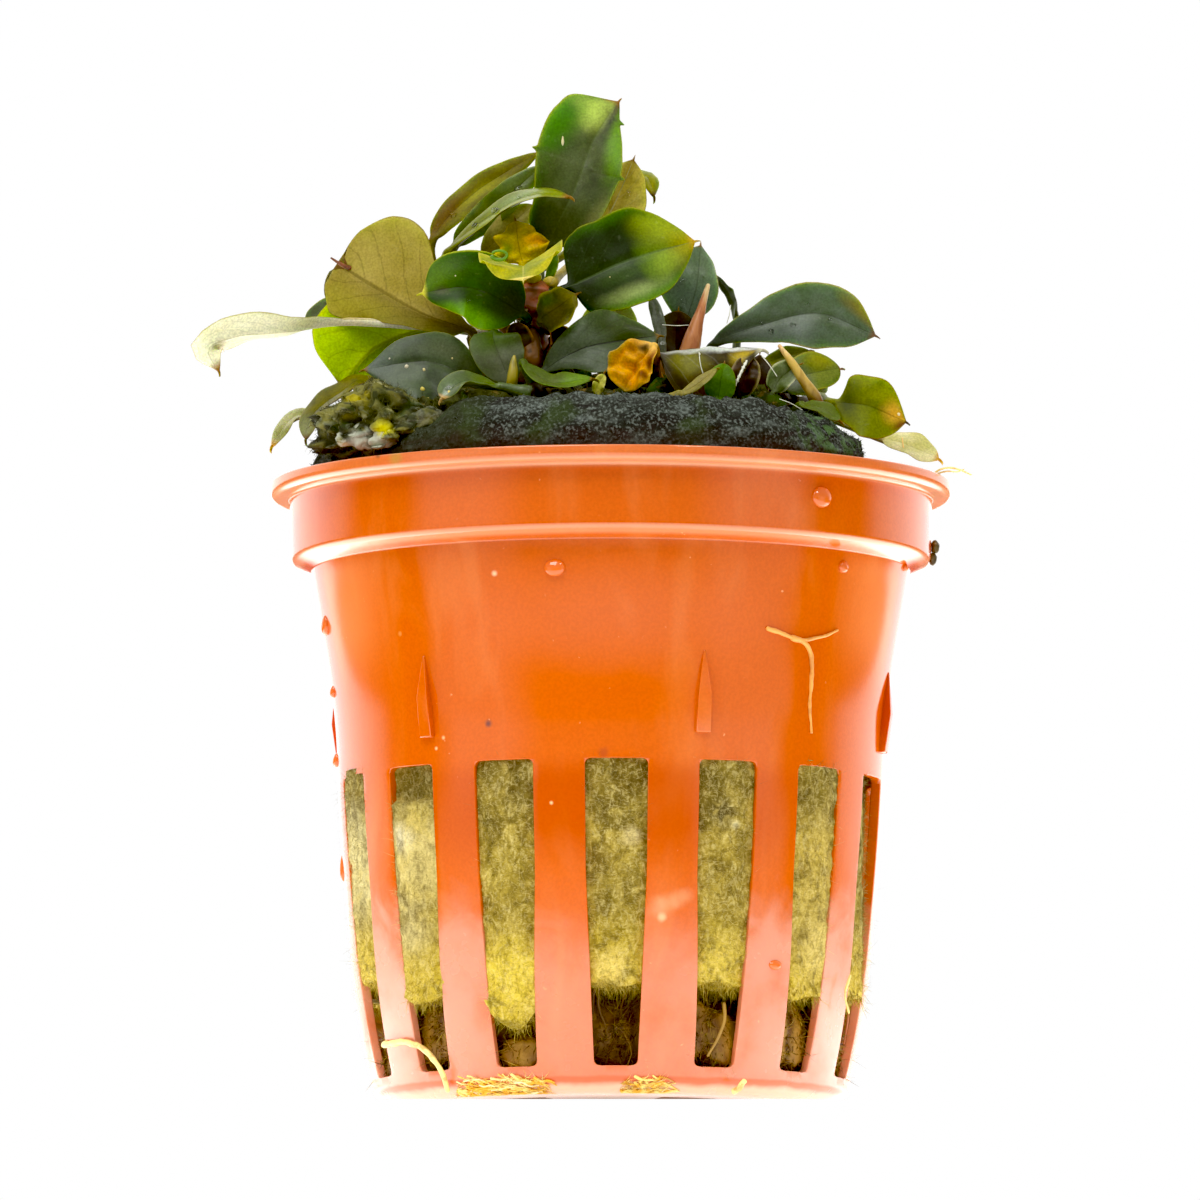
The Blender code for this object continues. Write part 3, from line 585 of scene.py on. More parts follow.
# Painted highlight: a thin pale line along the ledge's edge at 44.0 mm and the lip's lower edge at 49.2 mm.
for edge_z in POT_PAINTED_EDGE_HIGHLIGHTS_Z:
    off = calc("ABSOLUTE", calc("SUBTRACT", height, edge_z))
    colour = laid(colour, ramp(off, 0.00045, 0.00015), 0.30, (250, 196, 150))
grit = times(ramp(speckle(place, 1500, 2), 0.735, 0.79), ramp(speckle(place, 130, 2), 0.42, 0.62))
colour = laid(colour, grit, 0.6, (252, 190, 128))
cover(shader, colour, 0.68)
wire(shader, "Roughness", scaled(painted_glare_zone, 0.14, scaled(speckle(place, 400, 4), 0.10, 0.08)))
let_light_in(shader, 0.12, (1.0, 0.35, 0.08), 1.2)
relief(shader, speckle(place, 2600, 3), 0.10, 0.03)

pot_shape = Shape()
pot_shape.add(pot_points, pot_faces)
for number in range(6):
    sx, sy = turn(NUB_FIRST_DEG + 60 * number)
    wedge = []
    for side in (-0.5, 0.5):
        for r, z in NUB_SECTION:
            across = side * np.interp(z, NUB_LEVELS, NUB_WIDTHS)
            wedge.append((r * sx - sy * across, r * sy + sx * across, z))
    sides = [[k, (k + 1) % 5, 5 + (k + 1) % 5, 5 + k] for k in range(5)]
    pot_shape.add(wedge, sides + [[4, 3, 2, 1, 0], [5, 6, 7, 8, 9]])
pot = pot_shape.make("pot_moulding", plastic)
turned_outwards(pot)
rim_round = pot.modifiers.new("edges", "BEVEL")
rim_round.width = EDGE_ROUND * MM
rim_round.segments = 2
rim_round.limit_method = "ANGLE"
rim_round.angle_limit = math.radians(48)
shading = pot.modifiers.new("shading", "WEIGHTED_NORMAL")
shading.keep_sharp = True
settle(pot, "pot_plastic", "pot")

# Rock wool plug: a block of spun mineral fibre pressed into the pot, cut flat at its right, olive and
# yellow with age and covered by dark blue-green algae on top. The block is one rough closed form, and tens
# of thousands of short tapered fibres stand out of it where the slots and the top leave it open to sight.

WOOL_COLUMNS = 300
WOOL_SIDE = ((8.6, 11.0, 20.0, 30.0, 42.4, 45.4, 50.6), (17.6, 19.2, 20.2, 20.8, 22.0, 24.0, 24.5))
WOOL_TOP_Z = 55.0
WOOL_LOBES = ((-22.9, 3.4), (-46.9, 1.2), (-70.9, -1.5), (49.1, 0.6))
WOOL_RIGHT_X = 20.0
WOOL_SETBACK_TURNS = (20, 45, 80, 90, 180)
WOOL_SETBACKS = (0.45, 0.22, 0.05, 0.9, 0.5)
WOOL_BULGE = 0.22


def rough(x, y, z, size, seed=0.0):
    """Noise from about -1 to 1 with features of this size in millimetres."""
    return noise.noise(Vector((x / size + seed, y / size - seed, z / size + 2 * seed)))


def flat_ring(radius, z, degrees):
    """A level ring of points."""
    return [(turn(d)[0] * radius, turn(d)[1] * radius, z) for d in degrees]


def toned(values, column=0):
    """Marks for as many fibres as there are values, which become their first mark, or another one."""
    marks = np.zeros((len(values), 3))
    marks[:, column] = values
    return marks


def wool_top(x, y):
    """How high the plug's top is: sloping down at the right, and lower at the left under the loose lump."""
    right = 0.07 * max(x - 7.0, 0.0) + 0.28 * max(x - 15.8, 0.0)
    left = 1.3 * min(max(-11.8 - x, 0.0) / 2.4, 1.0)
    bumps = 0.50 * rough(x, y, 0, 4.5, 3) + 0.50 * rough(x, y, 0, 1.7, 7) + 0.34 * rough(x, y, 0, 0.75, 9)
    return WOOL_TOP_Z - right - left + bumps


def slot_window(deg, spread=1.0):
    """1 in the middle of a slot and 0 behind a rib."""
    off = (deg - SLOT_FIRST_DEG + SECTOR_DEG / 2) % SECTOR_DEG - SECTOR_DEG / 2
    return max(0.0, 1 - (abs(off) / (5.6 * spread)) ** 4)


def wool_side(deg, z):
    """The point of the plug's side at this angle and height."""
    sx, sy = turn(deg)
    sag = 0.0
    if z < 13:
        lobes = sum(drop * math.exp(-(((deg - at + 180) % 360 - 180) / 8.0) ** 2) for at, drop in WOOL_LOBES)
        sag = (lobes + 0.7 * rough(deg / 7, 0, 0, 1, 5)) * (13 - z) / 4.4
    radius = np.interp(z, *WOOL_SIDE)
    a = radius * math.radians(deg)
    radius += 0.20 * rough(a, z, 0, 3.6, 1) + 0.24 * rough(a, z, 0, 1.3, 2)
    radius += (0.15 if z < 45 else 0.22) * rough(a, z, 0, 0.62, 4)
    if z < 27:
        outside = float(through(*POT_WALL_OUTSIDE, z))
        turned = abs((deg + 180) % 360 - 180)
        setback = np.interp(turned, WOOL_SETBACK_TURNS, WOOL_SETBACKS)
        radius += outside - setback - np.interp(z, *WOOL_SIDE) + WOOL_BULGE * slot_window(deg)
        fold = math.exp(-(((deg + 46.9 + 180) % 360 - 180) / 7.0) ** 2)
        radius += fold * (0.35 if z < 23.6 else -1.1)
        radius = min(radius, outside + (0.55 if slot_window(deg, 0.98) > 0 else -0.10))
    return min(sx * radius, WOOL_RIGHT_X + 0.25 * rough(0, sy * radius, z, 1.6, 8)), sy * radius, z - sag


wool_rows = []
turns = np.arange(WOOL_COLUMNS) * 360 / WOOL_COLUMNS
for radius, z in ((0.8, 8.8), (5.0, 8.6), (10.0, 8.4), (13.5, 8.2), (15.6, 8.1)):
    bumpy = [z + 0.3 * rough(d / 9, radius, 0, 1) for d in turns]
    wool_rows.append([(x, y, lift) for (x, y, _), lift in zip(flat_ring(radius, z, turns), bumpy)])
side_levels = [np.arange(8.6, 27.5, 0.42), np.arange(28.5, 46.0, 3.0), np.arange(46.6, 51.6, 0.34)]
for z in np.concatenate(side_levels):
    wool_rows.append([wool_side(d, z) for d in turns])
top_radii = [(24.35, 24.1, 23.7), np.arange(23.3, 17.0, -0.36), np.arange(16.6, 1.0, -0.8), (0.8,)]
for radius in np.concatenate(top_radii):
    drop = 2.6 * max(0.0, (radius - 21.8) / 2.55) ** 2.2
    wool_row = []
    for d in turns:
        sx, sy = turn(d)
        x = min(sx * radius, WOOL_RIGHT_X - 0.10 * (24.35 - radius) + 0.3 * rough(0, sy * radius, 3, 1.6, 8))
        wool_row.append((x, sy * radius, wool_top(x, sy * radius) - drop))
    wool_rows.append(wool_row)


def lattice(rows, columns):
    """The faces of a closed grid of rings, with a cap at each end."""
    faces = []
    for k in range(rows - 1):
        for i in range(columns):
            j = (i + 1) % columns
            faces.append([k * columns + i, k * columns + j, (k + 1) * columns + j, (k + 1) * columns + i])
    return faces + [list(range(columns))[::-1], list(range((rows - 1) * columns, rows * columns))]


def scatter(points, faces, count, draw, wanted):
    """Random places on the four-sided faces whose middles are wanted, with the way that each faces."""
    points = np.asarray(points, float).reshape(-1, 3)
    quads = points[[f for f in faces if len(f) == 4]]
    quads = quads[wanted(quads.mean(axis=1))]
    normals = np.cross(quads[:, 2] - quads[:, 0], quads[:, 3] - quads[:, 1])
    areas = np.linalg.norm(normals, axis=1)
    chosen = draw.choice(len(quads), count, p=areas / areas.sum())
    s, t = draw.random((2, count, 1))
    q = quads[chosen]
    places = (q[:, 0] * (1 - s) + q[:, 1] * s) * (1 - t) + (q[:, 3] * (1 - s) + q[:, 2] * s) * t
    return places, normals[chosen] / areas[chosen, None]


def grow_fibres(shape, roots, ways, lengths, widths, curve, joints, draw, marks):
    """Adds one tapered, curved, closed fibre at each root. The second mark runs from 0 to 1 along a fibre."""
    count = len(roots)
    ways = ways / np.linalg.norm(ways, axis=1)[:, None]
    across = np.cross(ways, draw.normal(size=(count, 3)))
    across /= np.linalg.norm(across, axis=1)[:, None]
    other = np.cross(ways, across)
    bend = across * draw.normal(0, curve, (count, 1)) + other * draw.normal(0, curve, (count, 1))
    rounds = []
    for joint in range(joints + 1):
        t = joint / joints
        middle = roots + (ways * t + bend * t * t) * lengths[:, None]
        if joint == joints:
            rounds.append(middle)
            continue
        thick = (widths * (1 - 0.7 * t))[:, None]
        for a in (0, 120, 240):
            rounds.append(
                middle + thick * (across * math.cos(math.radians(a)) + other * math.sin(math.radians(a)))
            )
    size = 3 * joints + 1
    points = np.stack(rounds, axis=1).reshape(-1, 3)
    along = np.minimum(np.arange(size) // 3, joints) / joints
    colour = np.repeat(marks, size, axis=0)
    colour[:, 1] = np.tile(along, count)
    one = [[2, 1, 0]]
    for joint in range(joints - 1):
        for s in range(3):
            one.append(
                [3 * joint + s, 3 * joint + (s + 1) % 3, 3 * joint + 3 + (s + 1) % 3, 3 * joint + 3 + s]
            )
    last = 3 * (joints - 1)
    one += [[last + s, last + (s + 1) % 3, size - 1] for s in range(3)]
    faces = [[v + size * k for v in face] for k in range(count) for face in one]
    shape.add(points, faces, colour)


wool_points = np.array(wool_rows).reshape(-1, 3)
wool_faces = lattice(len(wool_rows), WOOL_COLUMNS)

WOOL_PATCHES = (
    # Painted light: the three wide pale patches over the side slots, at (-15.6, -14.8, 19.0), (-20.2, -7.4,
    # 19.0) and (15.6, -13.8, 18.0), stand for the brighter side light that the wool catches there.
    ((-15.6, -14.8, 19.0), 4.6, (226, 206, 128), 0.7), ((-16.2, -14.0, 20.6), 1.4, (240, 232, 196), 0.7),
    ((-15.4, -14.0, 13.0), 2.2, (216, 200, 140), 0.6), ((-14.6, -14.6, 22.2), 1.5, (222, 192, 30), 0.8),
    ((-20.2, -7.4, 19.0), 5.0, (232, 218, 156), 0.7), ((-19.8, -7.2, 11.0), 3.0, (206, 180, 60), 0.7),
    ((15.6, -13.8, 18.0), 5.0, (220, 192, 88), 0.6), ((16.6, -13.2, 12.0), 3.0, (230, 206, 120), 0.6),
    ((-7.8, -18.4, 9.0), 3.4, (228, 202, 70), 0.7), ((-8.6, -19.0, 18.0), 3.4, (164, 142, 48), 0.5),
    ((8.8, -19.0, 22.0), 1.6, (66, 54, 34), 0.8), ((-0.4, -21.0, 25.0), 2.6, (116, 94, 30), 0.6),
    ((-1.4, -21.0, 18.0), 2.0, (104, 80, 26), 0.55), ((0.2, -20.5, 9.5), 1.8, (234, 208, 110), 0.7),
    ((1.6, -21.2, 20.0), 0.8, (222, 204, 150), 0.7), ((8.6, -18.8, 10.5), 2.6, (226, 200, 84), 0.7),
    ((9.8, -19.0, 21.2), 0.5, (226, 214, 160), 0.8), ((-9.4, -18.0, 22.0), 2.4, (120, 106, 40), 0.5),
)
wool, shader, place, mark = finish("rock_wool", 0.85)
sideways, _, height = split(place)
tone, tipward, _ = mark
cloud = speckle(place, 330, 5, 0.8)
colour = mix(ramp(cloud, 0.34, 0.66), (120, 101, 34), (168, 145, 58))
low = ramp(scaled(cloud, 0.010, height), 0.0205, 0.0135)
colour = laid(colour, low, 0.75, (206, 178, 52))
high = ramp(scaled(cloud, -0.010, height), 0.0145, 0.0185)
colour = laid(colour, high, 0.5, (92, 76, 26))
colour = patched(place, cloud, colour, WOOL_PATCHES)
tufts = speckle(stretched(place, 1, 1, 0.7), 900, 3, 0.9)
colour = laid(colour, ramp(tufts, 0.50, 0.70), 0.40, (212, 188, 96))
colour = laid(colour, ramp(tufts, 0.52, 0.30), 0.55, (84, 64, 8))
for flat, seen in ((0.5, 0.26), (2.0, 0.22)):
    hairs = speckle(stretched(place, 1, 1, flat), 1900, 3, 1.8)
    colour = laid(colour, ramp(hairs, 0.52, 0.66), seen, (236, 218, 146))
    colour = laid(colour, ramp(hairs, 0.48, 0.34), seen, (72, 56, 10))
colour = laid(colour, ramp(tone, 0.60, 1.0), 0.50, (236, 220, 150))
colour = laid(colour, ramp(tone, 0.45, 0.0), 0.36, (92, 74, 18))
algae = mix(ramp(speckle(place, 420, 5, 0.4), 0.30, 0.74), (25, 28, 24), (62, 67, 60))
crust = speckle(stretched(place, 0.55, 0.55, 1.5), 700, 5, 0.3)
algae = laid(algae, ramp(crust, 0.49, 0.39), 0.85, (22, 18, 19))
algae = laid(algae, ramp(crust, 0.53, 0.64), 0.45, (106, 115, 108))
grains = speckle(place, 4200, 3)
algae = laid(algae, ramp(grains, 0.50, 0.66), 0.60, (120, 129, 121))
algae = laid(algae, ramp(grains, 0.50, 0.36), 0.65, (24, 20, 22))
algae = laid(algae, ramp(sideways, -0.0085, -0.0125), 0.75, (40, 44, 22))
algae = laid(algae, ramp(speckle(place, 240, 4), 0.54, 0.70), 0.6, (52, 68, 30))
green = times(ramp(sideways, 0.013, 0.018), ramp(tufts, 0.46, 0.60))
algae = laid(algae, green, 0.75, (84, 118, 62))
algae = laid(algae, tipward, 0.40, (90, 99, 91))
algae = laid(algae, ramp(tone, 0.84, 1.0), 0.70, (144, 153, 144))
algae = laid(algae, ramp(tone, 0.30, 0.0), 0.45, (24, 25, 22))
edge_low = ramp(scaled(crust, 0.0035, height), 0.0542, 0.0520)
algae = laid(algae, edge_low, 0.75, (52, 34, 34))
colour = mix(ramp(height, 0.0455, 0.0485), colour, algae)
cover(shader, colour, 0.25)
relief(shader, speckle(place, 1900, 5, 0.6), 0.8, 0.25)

wool_block = Shape()
wool_block.add(wool_points, wool_faces, (0.5, 0.0, 0.0))
plug = wool_block.make("rock_wool_block", wool)
settle(plug, "rock_wool", "wool_plug")

draw = np.random.default_rng(4)


def in_slots(middles):
    """Which places on the plug's side can be seen through the slots."""
    deg = np.degrees(np.arctan2(middles[:, 0], -middles[:, 1]))
    off = (deg - SLOT_FIRST_DEG + SECTOR_DEG / 2) % SECTOR_DEG - SECTOR_DEG / 2
    return (np.abs(off) < 6.4) & (middles[:, 2] < 26.4) & (np.hypot(middles[:, 0], middles[:, 1]) > 15)


def in_front_slots(middles):
    """Which of those places are in the front half."""
    return in_slots(middles) & (middles[:, 1] < 1)


def low_in_slots(middles):
    """Which of those places are near the plug's lower edge."""
    return (middles[:, 2] > 4.0) & (middles[:, 2] < 9.4) & in_slots(middles)


FIBRE_LAYERS = ((in_front_slots, 11500, 2), (in_slots, 17000, 1))
for number, (wanted, fibre_count, joints) in enumerate(FIBRE_LAYERS):
    roots, out = scatter(wool_points, wool_faces, fibre_count, draw, wanted)
    lie = draw.normal(size=(fibre_count, 3)) * (1.0, 1.0, 0.9)
    lie -= out * np.einsum("ij,ij->i", lie, out)[:, None]
    lie /= np.linalg.norm(lie, axis=1)[:, None]
    ways = lie + out * draw.uniform(0.05, 0.50, (fibre_count, 1)) + (0, 0, -0.15)
    lengths = draw.uniform(0.40, 1.40, fibre_count)
    widths = draw.uniform(0.010, 0.022, fibre_count)
    marks = toned(draw.random(fibre_count))
    side_fibres = Shape()
    grow_fibres(side_fibres, roots - out * 0.1, ways, lengths, widths, 0.35, joints, draw, marks)
    settle(side_fibres.make(f"wool_fibres_{number + 1}", wool), "rock_wool")

crumb_count = 18000
roots, out = scatter(wool_points, wool_faces, crumb_count, draw, lambda m: m[:, 2] > 49.8)
ways = out + draw.normal(0, 0.6, (crumb_count, 3))
marks = toned(draw.random(crumb_count))
top_crumbs = Shape()
lengths = draw.uniform(0.12, 0.42, crumb_count)
widths = draw.uniform(0.020, 0.050, crumb_count)
grow_fibres(top_crumbs, roots - out * 0.05, ways, lengths, widths, 0.4, 1, draw, marks)
settle(top_crumbs.make("algae_crumbs", wool), "rock_wool")

fringe_count = 2000
roots, out = scatter(wool_points, wool_faces, fringe_count, draw, low_in_slots)
ways = out * 0.1 + draw.normal(0, 0.28, (fringe_count, 3)) + (0, 0, -1.0)
lengths = draw.uniform(0.5, 1.7, fringe_count)
widths = draw.uniform(0.020, 0.045, fringe_count)
marks = toned(draw.random(fringe_count) * 0.7)
fringe = Shape()
grow_fibres(fringe, roots - out * 0.1, ways, lengths, widths, 0.3, 2, draw, marks)
settle(fringe.make("wool_fringe", wool), "rock_wool")

# Loose lump of wool at the left of the top: a torn-off tuft, brown, olive and bright yellow in patches,
# with a grey-white crust of dried mineral low at its front. It lies on the plug, held only by the fibres.

LUMP_CENTRE = (-17.7, -11.6, 54.3)
LUMP_RADII = (5.7, 6.0, 3.2)
LUMP_COLUMNS = 120
LUMP_ROWS = 60


def clod(radii, rows, columns, seed, grain=1.0):
    """Points of a rough rounded lump about its own centre, as rings from its foot to its top."""
    made = []
    for k in range(rows):
        rise = math.radians(-88 + 176 * k / (rows - 1))
        for i in range(columns):
            sx, sy = turn(360 * i / columns)
            at = np.array((sx * math.cos(rise), sy * math.cos(rise), math.sin(rise))) * radii
            swell = 1.02 + 0.20 * rough(*at, 3.4 * grain, 11 + seed) + 0.24 * rough(
                *at, 1.6 * grain, 12 + seed
            )
            swell += 0.14 * rough(*at, 0.7 * grain, 13 + seed) - 0.24 * abs(
                rough(*at, 3.0 * grain, 14 + seed)
            )
            made.append(at * swell)
    return np.array(made)


lump_points = clod(LUMP_RADII, LUMP_ROWS, LUMP_COLUMNS, 0)
upper_half = lump_points[:, 2] > 0
from_peak = lump_points[upper_half, 0] + 0.9
lump_points[upper_half, 2] *= np.maximum(
    np.where(from_peak < 0, 1 + 0.13 * from_peak, 1 - 0.19 * from_peak), 0.12
)
drawn_in = np.sqrt(1 - np.clip(lump_points[~upper_half, 2] / LUMP_RADII[2], -0.92, 0) ** 2)
lump_points[~upper_half, :2] /= drawn_in[:, None] ** 0.75
lump_points += LUMP_CENTRE
over_rim = np.hypot(lump_points[:, 0], lump_points[:, 1]) > 24
lump_points[:, 2] = np.maximum(lump_points[:, 2], np.where(over_rim, 50.7, 50.0))
lump_faces = lattice(LUMP_ROWS, LUMP_COLUMNS)
LUMP_PATCHES = (
    ((-18.0, -16.0, 55.0), 1.9, (54, 60, 24), 0.8), ((-15.0, -15.6, 53.6), 2.4, (70, 82, 54), 0.6),
    ((-16.4, -12.5, 57.3), 2.2, (56, 62, 14), 0.6), ((-23.2, -11.5, 52.2), 2.0, (34, 30, 16), 0.85),
    ((-22.4, -14.0, 51.0), 0.9, (30, 26, 14), 0.8), ((-20.4, -15.4, 55.6), 1.3, (176, 162, 20), 0.85),
    ((-21.0, -15.2, 54.2), 0.8, (156, 142, 30), 0.7), ((-18.4, -14.8, 57.0), 0.8, (206, 200, 140), 0.7),
    ((-19.8, -16.8, 51.6), 1.3, (206, 208, 188), 0.95), ((-18.2, -17.3, 51.3), 1.1, (192, 198, 178), 0.9),
    ((-21.2, -15.8, 51.7), 0.6, (196, 168, 130), 0.8), ((-18.1, -17.5, 52.8), 0.8, (216, 208, 16), 0.95),
    ((-19.4, -17.0, 53.7), 0.5, (200, 200, 150), 0.85), ((-14.3, -16.2, 53.4), 0.5, (206, 212, 208), 0.9),
    ((-15.2, -16.4, 52.2), 0.4, (190, 196, 180), 0.8), ((-17.4, -16.9, 54.6), 0.4, (186, 184, 120), 0.8),
)

tuft, shader, place, mark = finish("torn_wool", 0.8)
tone, tipward, white = mark
cloud = speckle(place, 520, 5, 0.8)
colour = mix(ramp(cloud, 0.40, 0.58), (46, 46, 24), (120, 116, 54))
moss = ramp(speckle(place, 350, 4, 0.4), 0.55, 0.64)
colour = laid(colour, moss, 0.6, (62, 80, 34))
yellow = ramp(speckle(place, 330, 4, 0.9), 0.61, 0.66)
colour = laid(colour, yellow, 0.4, (150, 142, 40))
pale = ramp(speckle(stretched(place, 1, 1, 1.6), 900, 5, 1.0), 0.54, 0.66)
colour = laid(colour, pale, 0.40, (150, 156, 124))
colour = patched(place, speckle(place, 1200, 4), colour, LUMP_PATCHES)
colour = laid(colour, ramp(tone, 0.7, 1.0), tipward, (170, 172, 130))
colour = laid(colour, ramp(speckle(place, 1300, 4, 0.5), 0.40, 0.58), white, (188, 190, 168))
cover(shader, colour, 0.3)
relief(shader, speckle(place, 1700, 5, 0.6), 0.9, 0.3)

lump = Shape()
lump.add(lump_points, lump_faces, (0.3, 0, 0))
for at, radii, chalk in (
    ((-19.9, -15.8, 52.4), (1.9, 0.9, 1.1), 0.85), ((-17.9, -16.8, 52.2), (1.3, 0.7, 0.8), 0.8),
    ((-18.1, -17.1, 53.1), (0.9, 0.5, 0.6), 0.0), ((-20.6, -14.8, 55.0), (0.8, 0.6, 0.9), 0.0),
    ((-14.6, -17.0, 53.7), (1.7, 0.8, 0.9), 0.18), ((-13.4, -17.2, 52.6), (1.3, 0.8, 0.5), 0.35),
):
    lump.add(clod(radii, 20, 30, at[0], 0.35) + at, lattice(20, 30), (0.3, 0, chalk))
lump_count = 2800
roots, out = scatter(lump_points, lump_faces, lump_count, draw, lambda m: m[:, 2] > 50)
ways = out + draw.normal(0, 0.8, (lump_count, 3))
marks = toned(draw.random(lump_count))
lengths = draw.uniform(0.2, 0.8, lump_count)
widths = draw.uniform(0.022, 0.050, lump_count)
grow_fibres(lump, roots - out * 0.1, ways, lengths, widths, 0.5, 2, draw, marks)
settle(lump.make("torn_wool_lump", tuft), "rock_wool", "wool_lump")

# Clumps of moss and rotting wool along the front of the rhizomes, where the leaves' feet go down into the
# algae: small dark green and brown clods with short hairs, grown together with the top of the plug.

MOSS_CLUMPS = (
    (-8.6, -12.2, 55.6, 1.9, 1.4), (-6.0, -13.0, 55.6, 1.8, 1.6), (-3.6, -12.8, 55.8, 1.8, 1.5),
    (-1.0, -12.6, 55.6, 2.0, 1.3), (1.6, -12.4, 55.6, 1.9, 1.5), (4.2, -11.6, 55.8, 2.0, 1.9),
    (6.8, -11.4, 55.8, 2.0, 1.8), (9.4, -11.4, 55.6, 1.9, 1.5), (12.2, -11.4, 55.2, 1.9, 1.3),
    (-11.4, -11.6, 55.6, 2.0, 1.3), (-9.6, -8.6, 56.6, 2.0, 1.6), (-6.6, -8.6, 57.0, 2.2, 2.2),
    (-3.4, -8.0, 57.2, 2.2, 2.3), (0.2, -7.8, 57.0, 2.2, 1.9), (3.6, -8.0, 56.8, 2.2, 1.9),
    (7.4, -8.0, 56.6, 2.2, 1.8), (11.6, -8.6, 56.0, 2.0, 1.5), (-14.2, -10.4, 55.3, 2.2, 1.9),
    (-16.4, -9.4, 55.5, 2.0, 1.8), (-13.0, -12.6, 55.0, 1.9, 1.3), (-15.4, -12.8, 54.8, 1.7, 1.2),
)
moss_skin, shader, place, mark = finish("moss_clump", 0.8)
colour = mix(ramp(speckle(place, 420, 5, 0.6), 0.38, 0.62), (30, 30, 12), (70, 72, 30))
colour = mix(ramp(speckle(place, 300, 3), 0.54, 0.66), colour, (62, 92, 20))
colour = laid(colour, ramp(speckle(place, 1300, 4), 0.56, 0.68), 0.7, (124, 100, 44))
colour = laid(colour, ramp(mark[0], 0.7, 1.0), 0.8, (128, 138, 92))
cover(shader, colour, 0.25)
relief(shader, speckle(place, 1900, 5, 0.6), 1.0, 0.3)

moss_shape = Shape()
moss_faces = lattice(14, 26)
moss_hairs = 160
for number, (x, y, z, reach, rise) in enumerate(MOSS_CLUMPS):
    points = clod((reach, 1.4, rise), 14, 26, 3.1 * number, 0.45) + (x, y, z)
    moss_shape.add(points, moss_faces, (0.3, 0, 0))
    roots, out = scatter(points, moss_faces, moss_hairs, draw, lambda m: m[:, 2] > 54)
    marks = toned(draw.random(moss_hairs))
    ways = out + draw.normal(0, 0.7, (moss_hairs, 3))
    lengths = draw.uniform(0.15, 0.6, moss_hairs)
    widths = draw.uniform(0.02, 0.05, moss_hairs)
    grow_fibres(moss_shape, roots - out * 0.05, ways, lengths, widths, 0.5, 2, draw, marks)
settle(moss_shape.make("moss_clumps", moss_skin), "rock_wool")

# Root mass: the brown mat of roots and rotting wool under the plug, seen at the foot of the slots, with
# single strands hanging down round it. The mat is one rough closed form, and every strand is a thin bent
# stem.

ROOT_SIDE = ((1.4, 2.6, 5.4, 7.6), (12.9, 16.2, 16.9, 15.6))
ROOT_CLODS = (
    (-66, 17.6, 5.8, 1.9, 3.0), (-60, 17.8, 8.4, 1.8, 1.8), (-51, 17.9, 5.0, 1.9, 2.6),
    (-44, 18.1, 5.8, 1.9, 2.8),
    (-47, 18.3, 8.6, 2.2, 1.6), (46, 18.0, 6.0, 2.1, 3.0), (52, 18.0, 5.0, 1.8, 2.6),
    (70, 17.6, 5.6, 1.8, 3.0),
    (78, 17.6, 3.8, 1.5, 1.4), (-76, 17.6, 4.2, 1.7, 2.2), (100, 17.4, 4.8, 1.9, 2.2),
    (150, 17.4, 4.6, 1.9, 2.2),
    (21, 17.4, 5.2, 1.8, 2.4), (28, 17.5, 4.4, 1.9, 2.4), (-23, 17.2, 3.2, 2.0, 1.6),
    (-110, 17.4, 5.0, 1.9, 2.2), (-160, 17.4, 4.6, 1.9, 2.2),
)
ROOT_COLUMNS = 160
ROOTS_LOWEST_Z = 1.0


def stem(path, radii, sides=8, lump_size=0.0, lump_share=0.0, seed=0.0, ridges=0.0, ridge_gap=1.0):
    """Points, faces and marks of a round stem along the path. The first mark is how far along a point is."""
    path = np.asarray(path, float)
    radii = np.asarray(radii, float)
    ahead = np.gradient(path, axis=0)
    ahead /= np.linalg.norm(ahead, axis=1)[:, None]
    first = np.cross(ahead[0], (0.3, 0.5, 0.8))
    along = np.concatenate([[0], np.cumsum(np.linalg.norm(np.diff(path, axis=0), axis=1))])
    stations = [(path[0] - ahead[0] * radii[0] * 0.5, radii[0] * 0.55, 0, 0)]
    stations += [(p, r, k, a) for k, (p, r, a) in enumerate(zip(path, radii, along))]
    stations.append((path[-1] + ahead[-1] * radii[-1] * 0.5, radii[-1] * 0.55, len(path) - 1, along[-1]))
    points = []
    marks = []
    normal = first / np.linalg.norm(first)
    for middle, radius, k, run in stations:
        normal = normal - ahead[k] * (normal @ ahead[k])
        normal /= np.linalg.norm(normal)
        other = np.cross(ahead[k], normal)
        for i in range(sides):
            a = 2 * math.pi * i / sides
            way = normal * math.cos(a) + other * math.sin(a)
            at = middle + way * radius
            grow = 1 + ridges * max(0.0, math.cos(2 * math.pi * run / ridge_gap)) ** 3
            if lump_size:
                grow += lump_share * rough(*at, lump_size, seed)
            points.append(middle + way * radius * grow)
            marks.append((run / along[-1], 0, seed % 1))
    return points, lattice(len(stations), sides), marks


def flowing(points, count):
    """A smooth line through the points, with this many places spread evenly along it, in as many columns."""
    points = np.asarray(points, float)
    run = np.concatenate([[0], np.cumsum(np.linalg.norm(np.diff(points[:, :3], axis=0), axis=1))])
    at = np.linspace(0, run[-1], count)
    return np.stack([through(run, points[:, c], at) for c in range(points.shape[1])], axis=1)


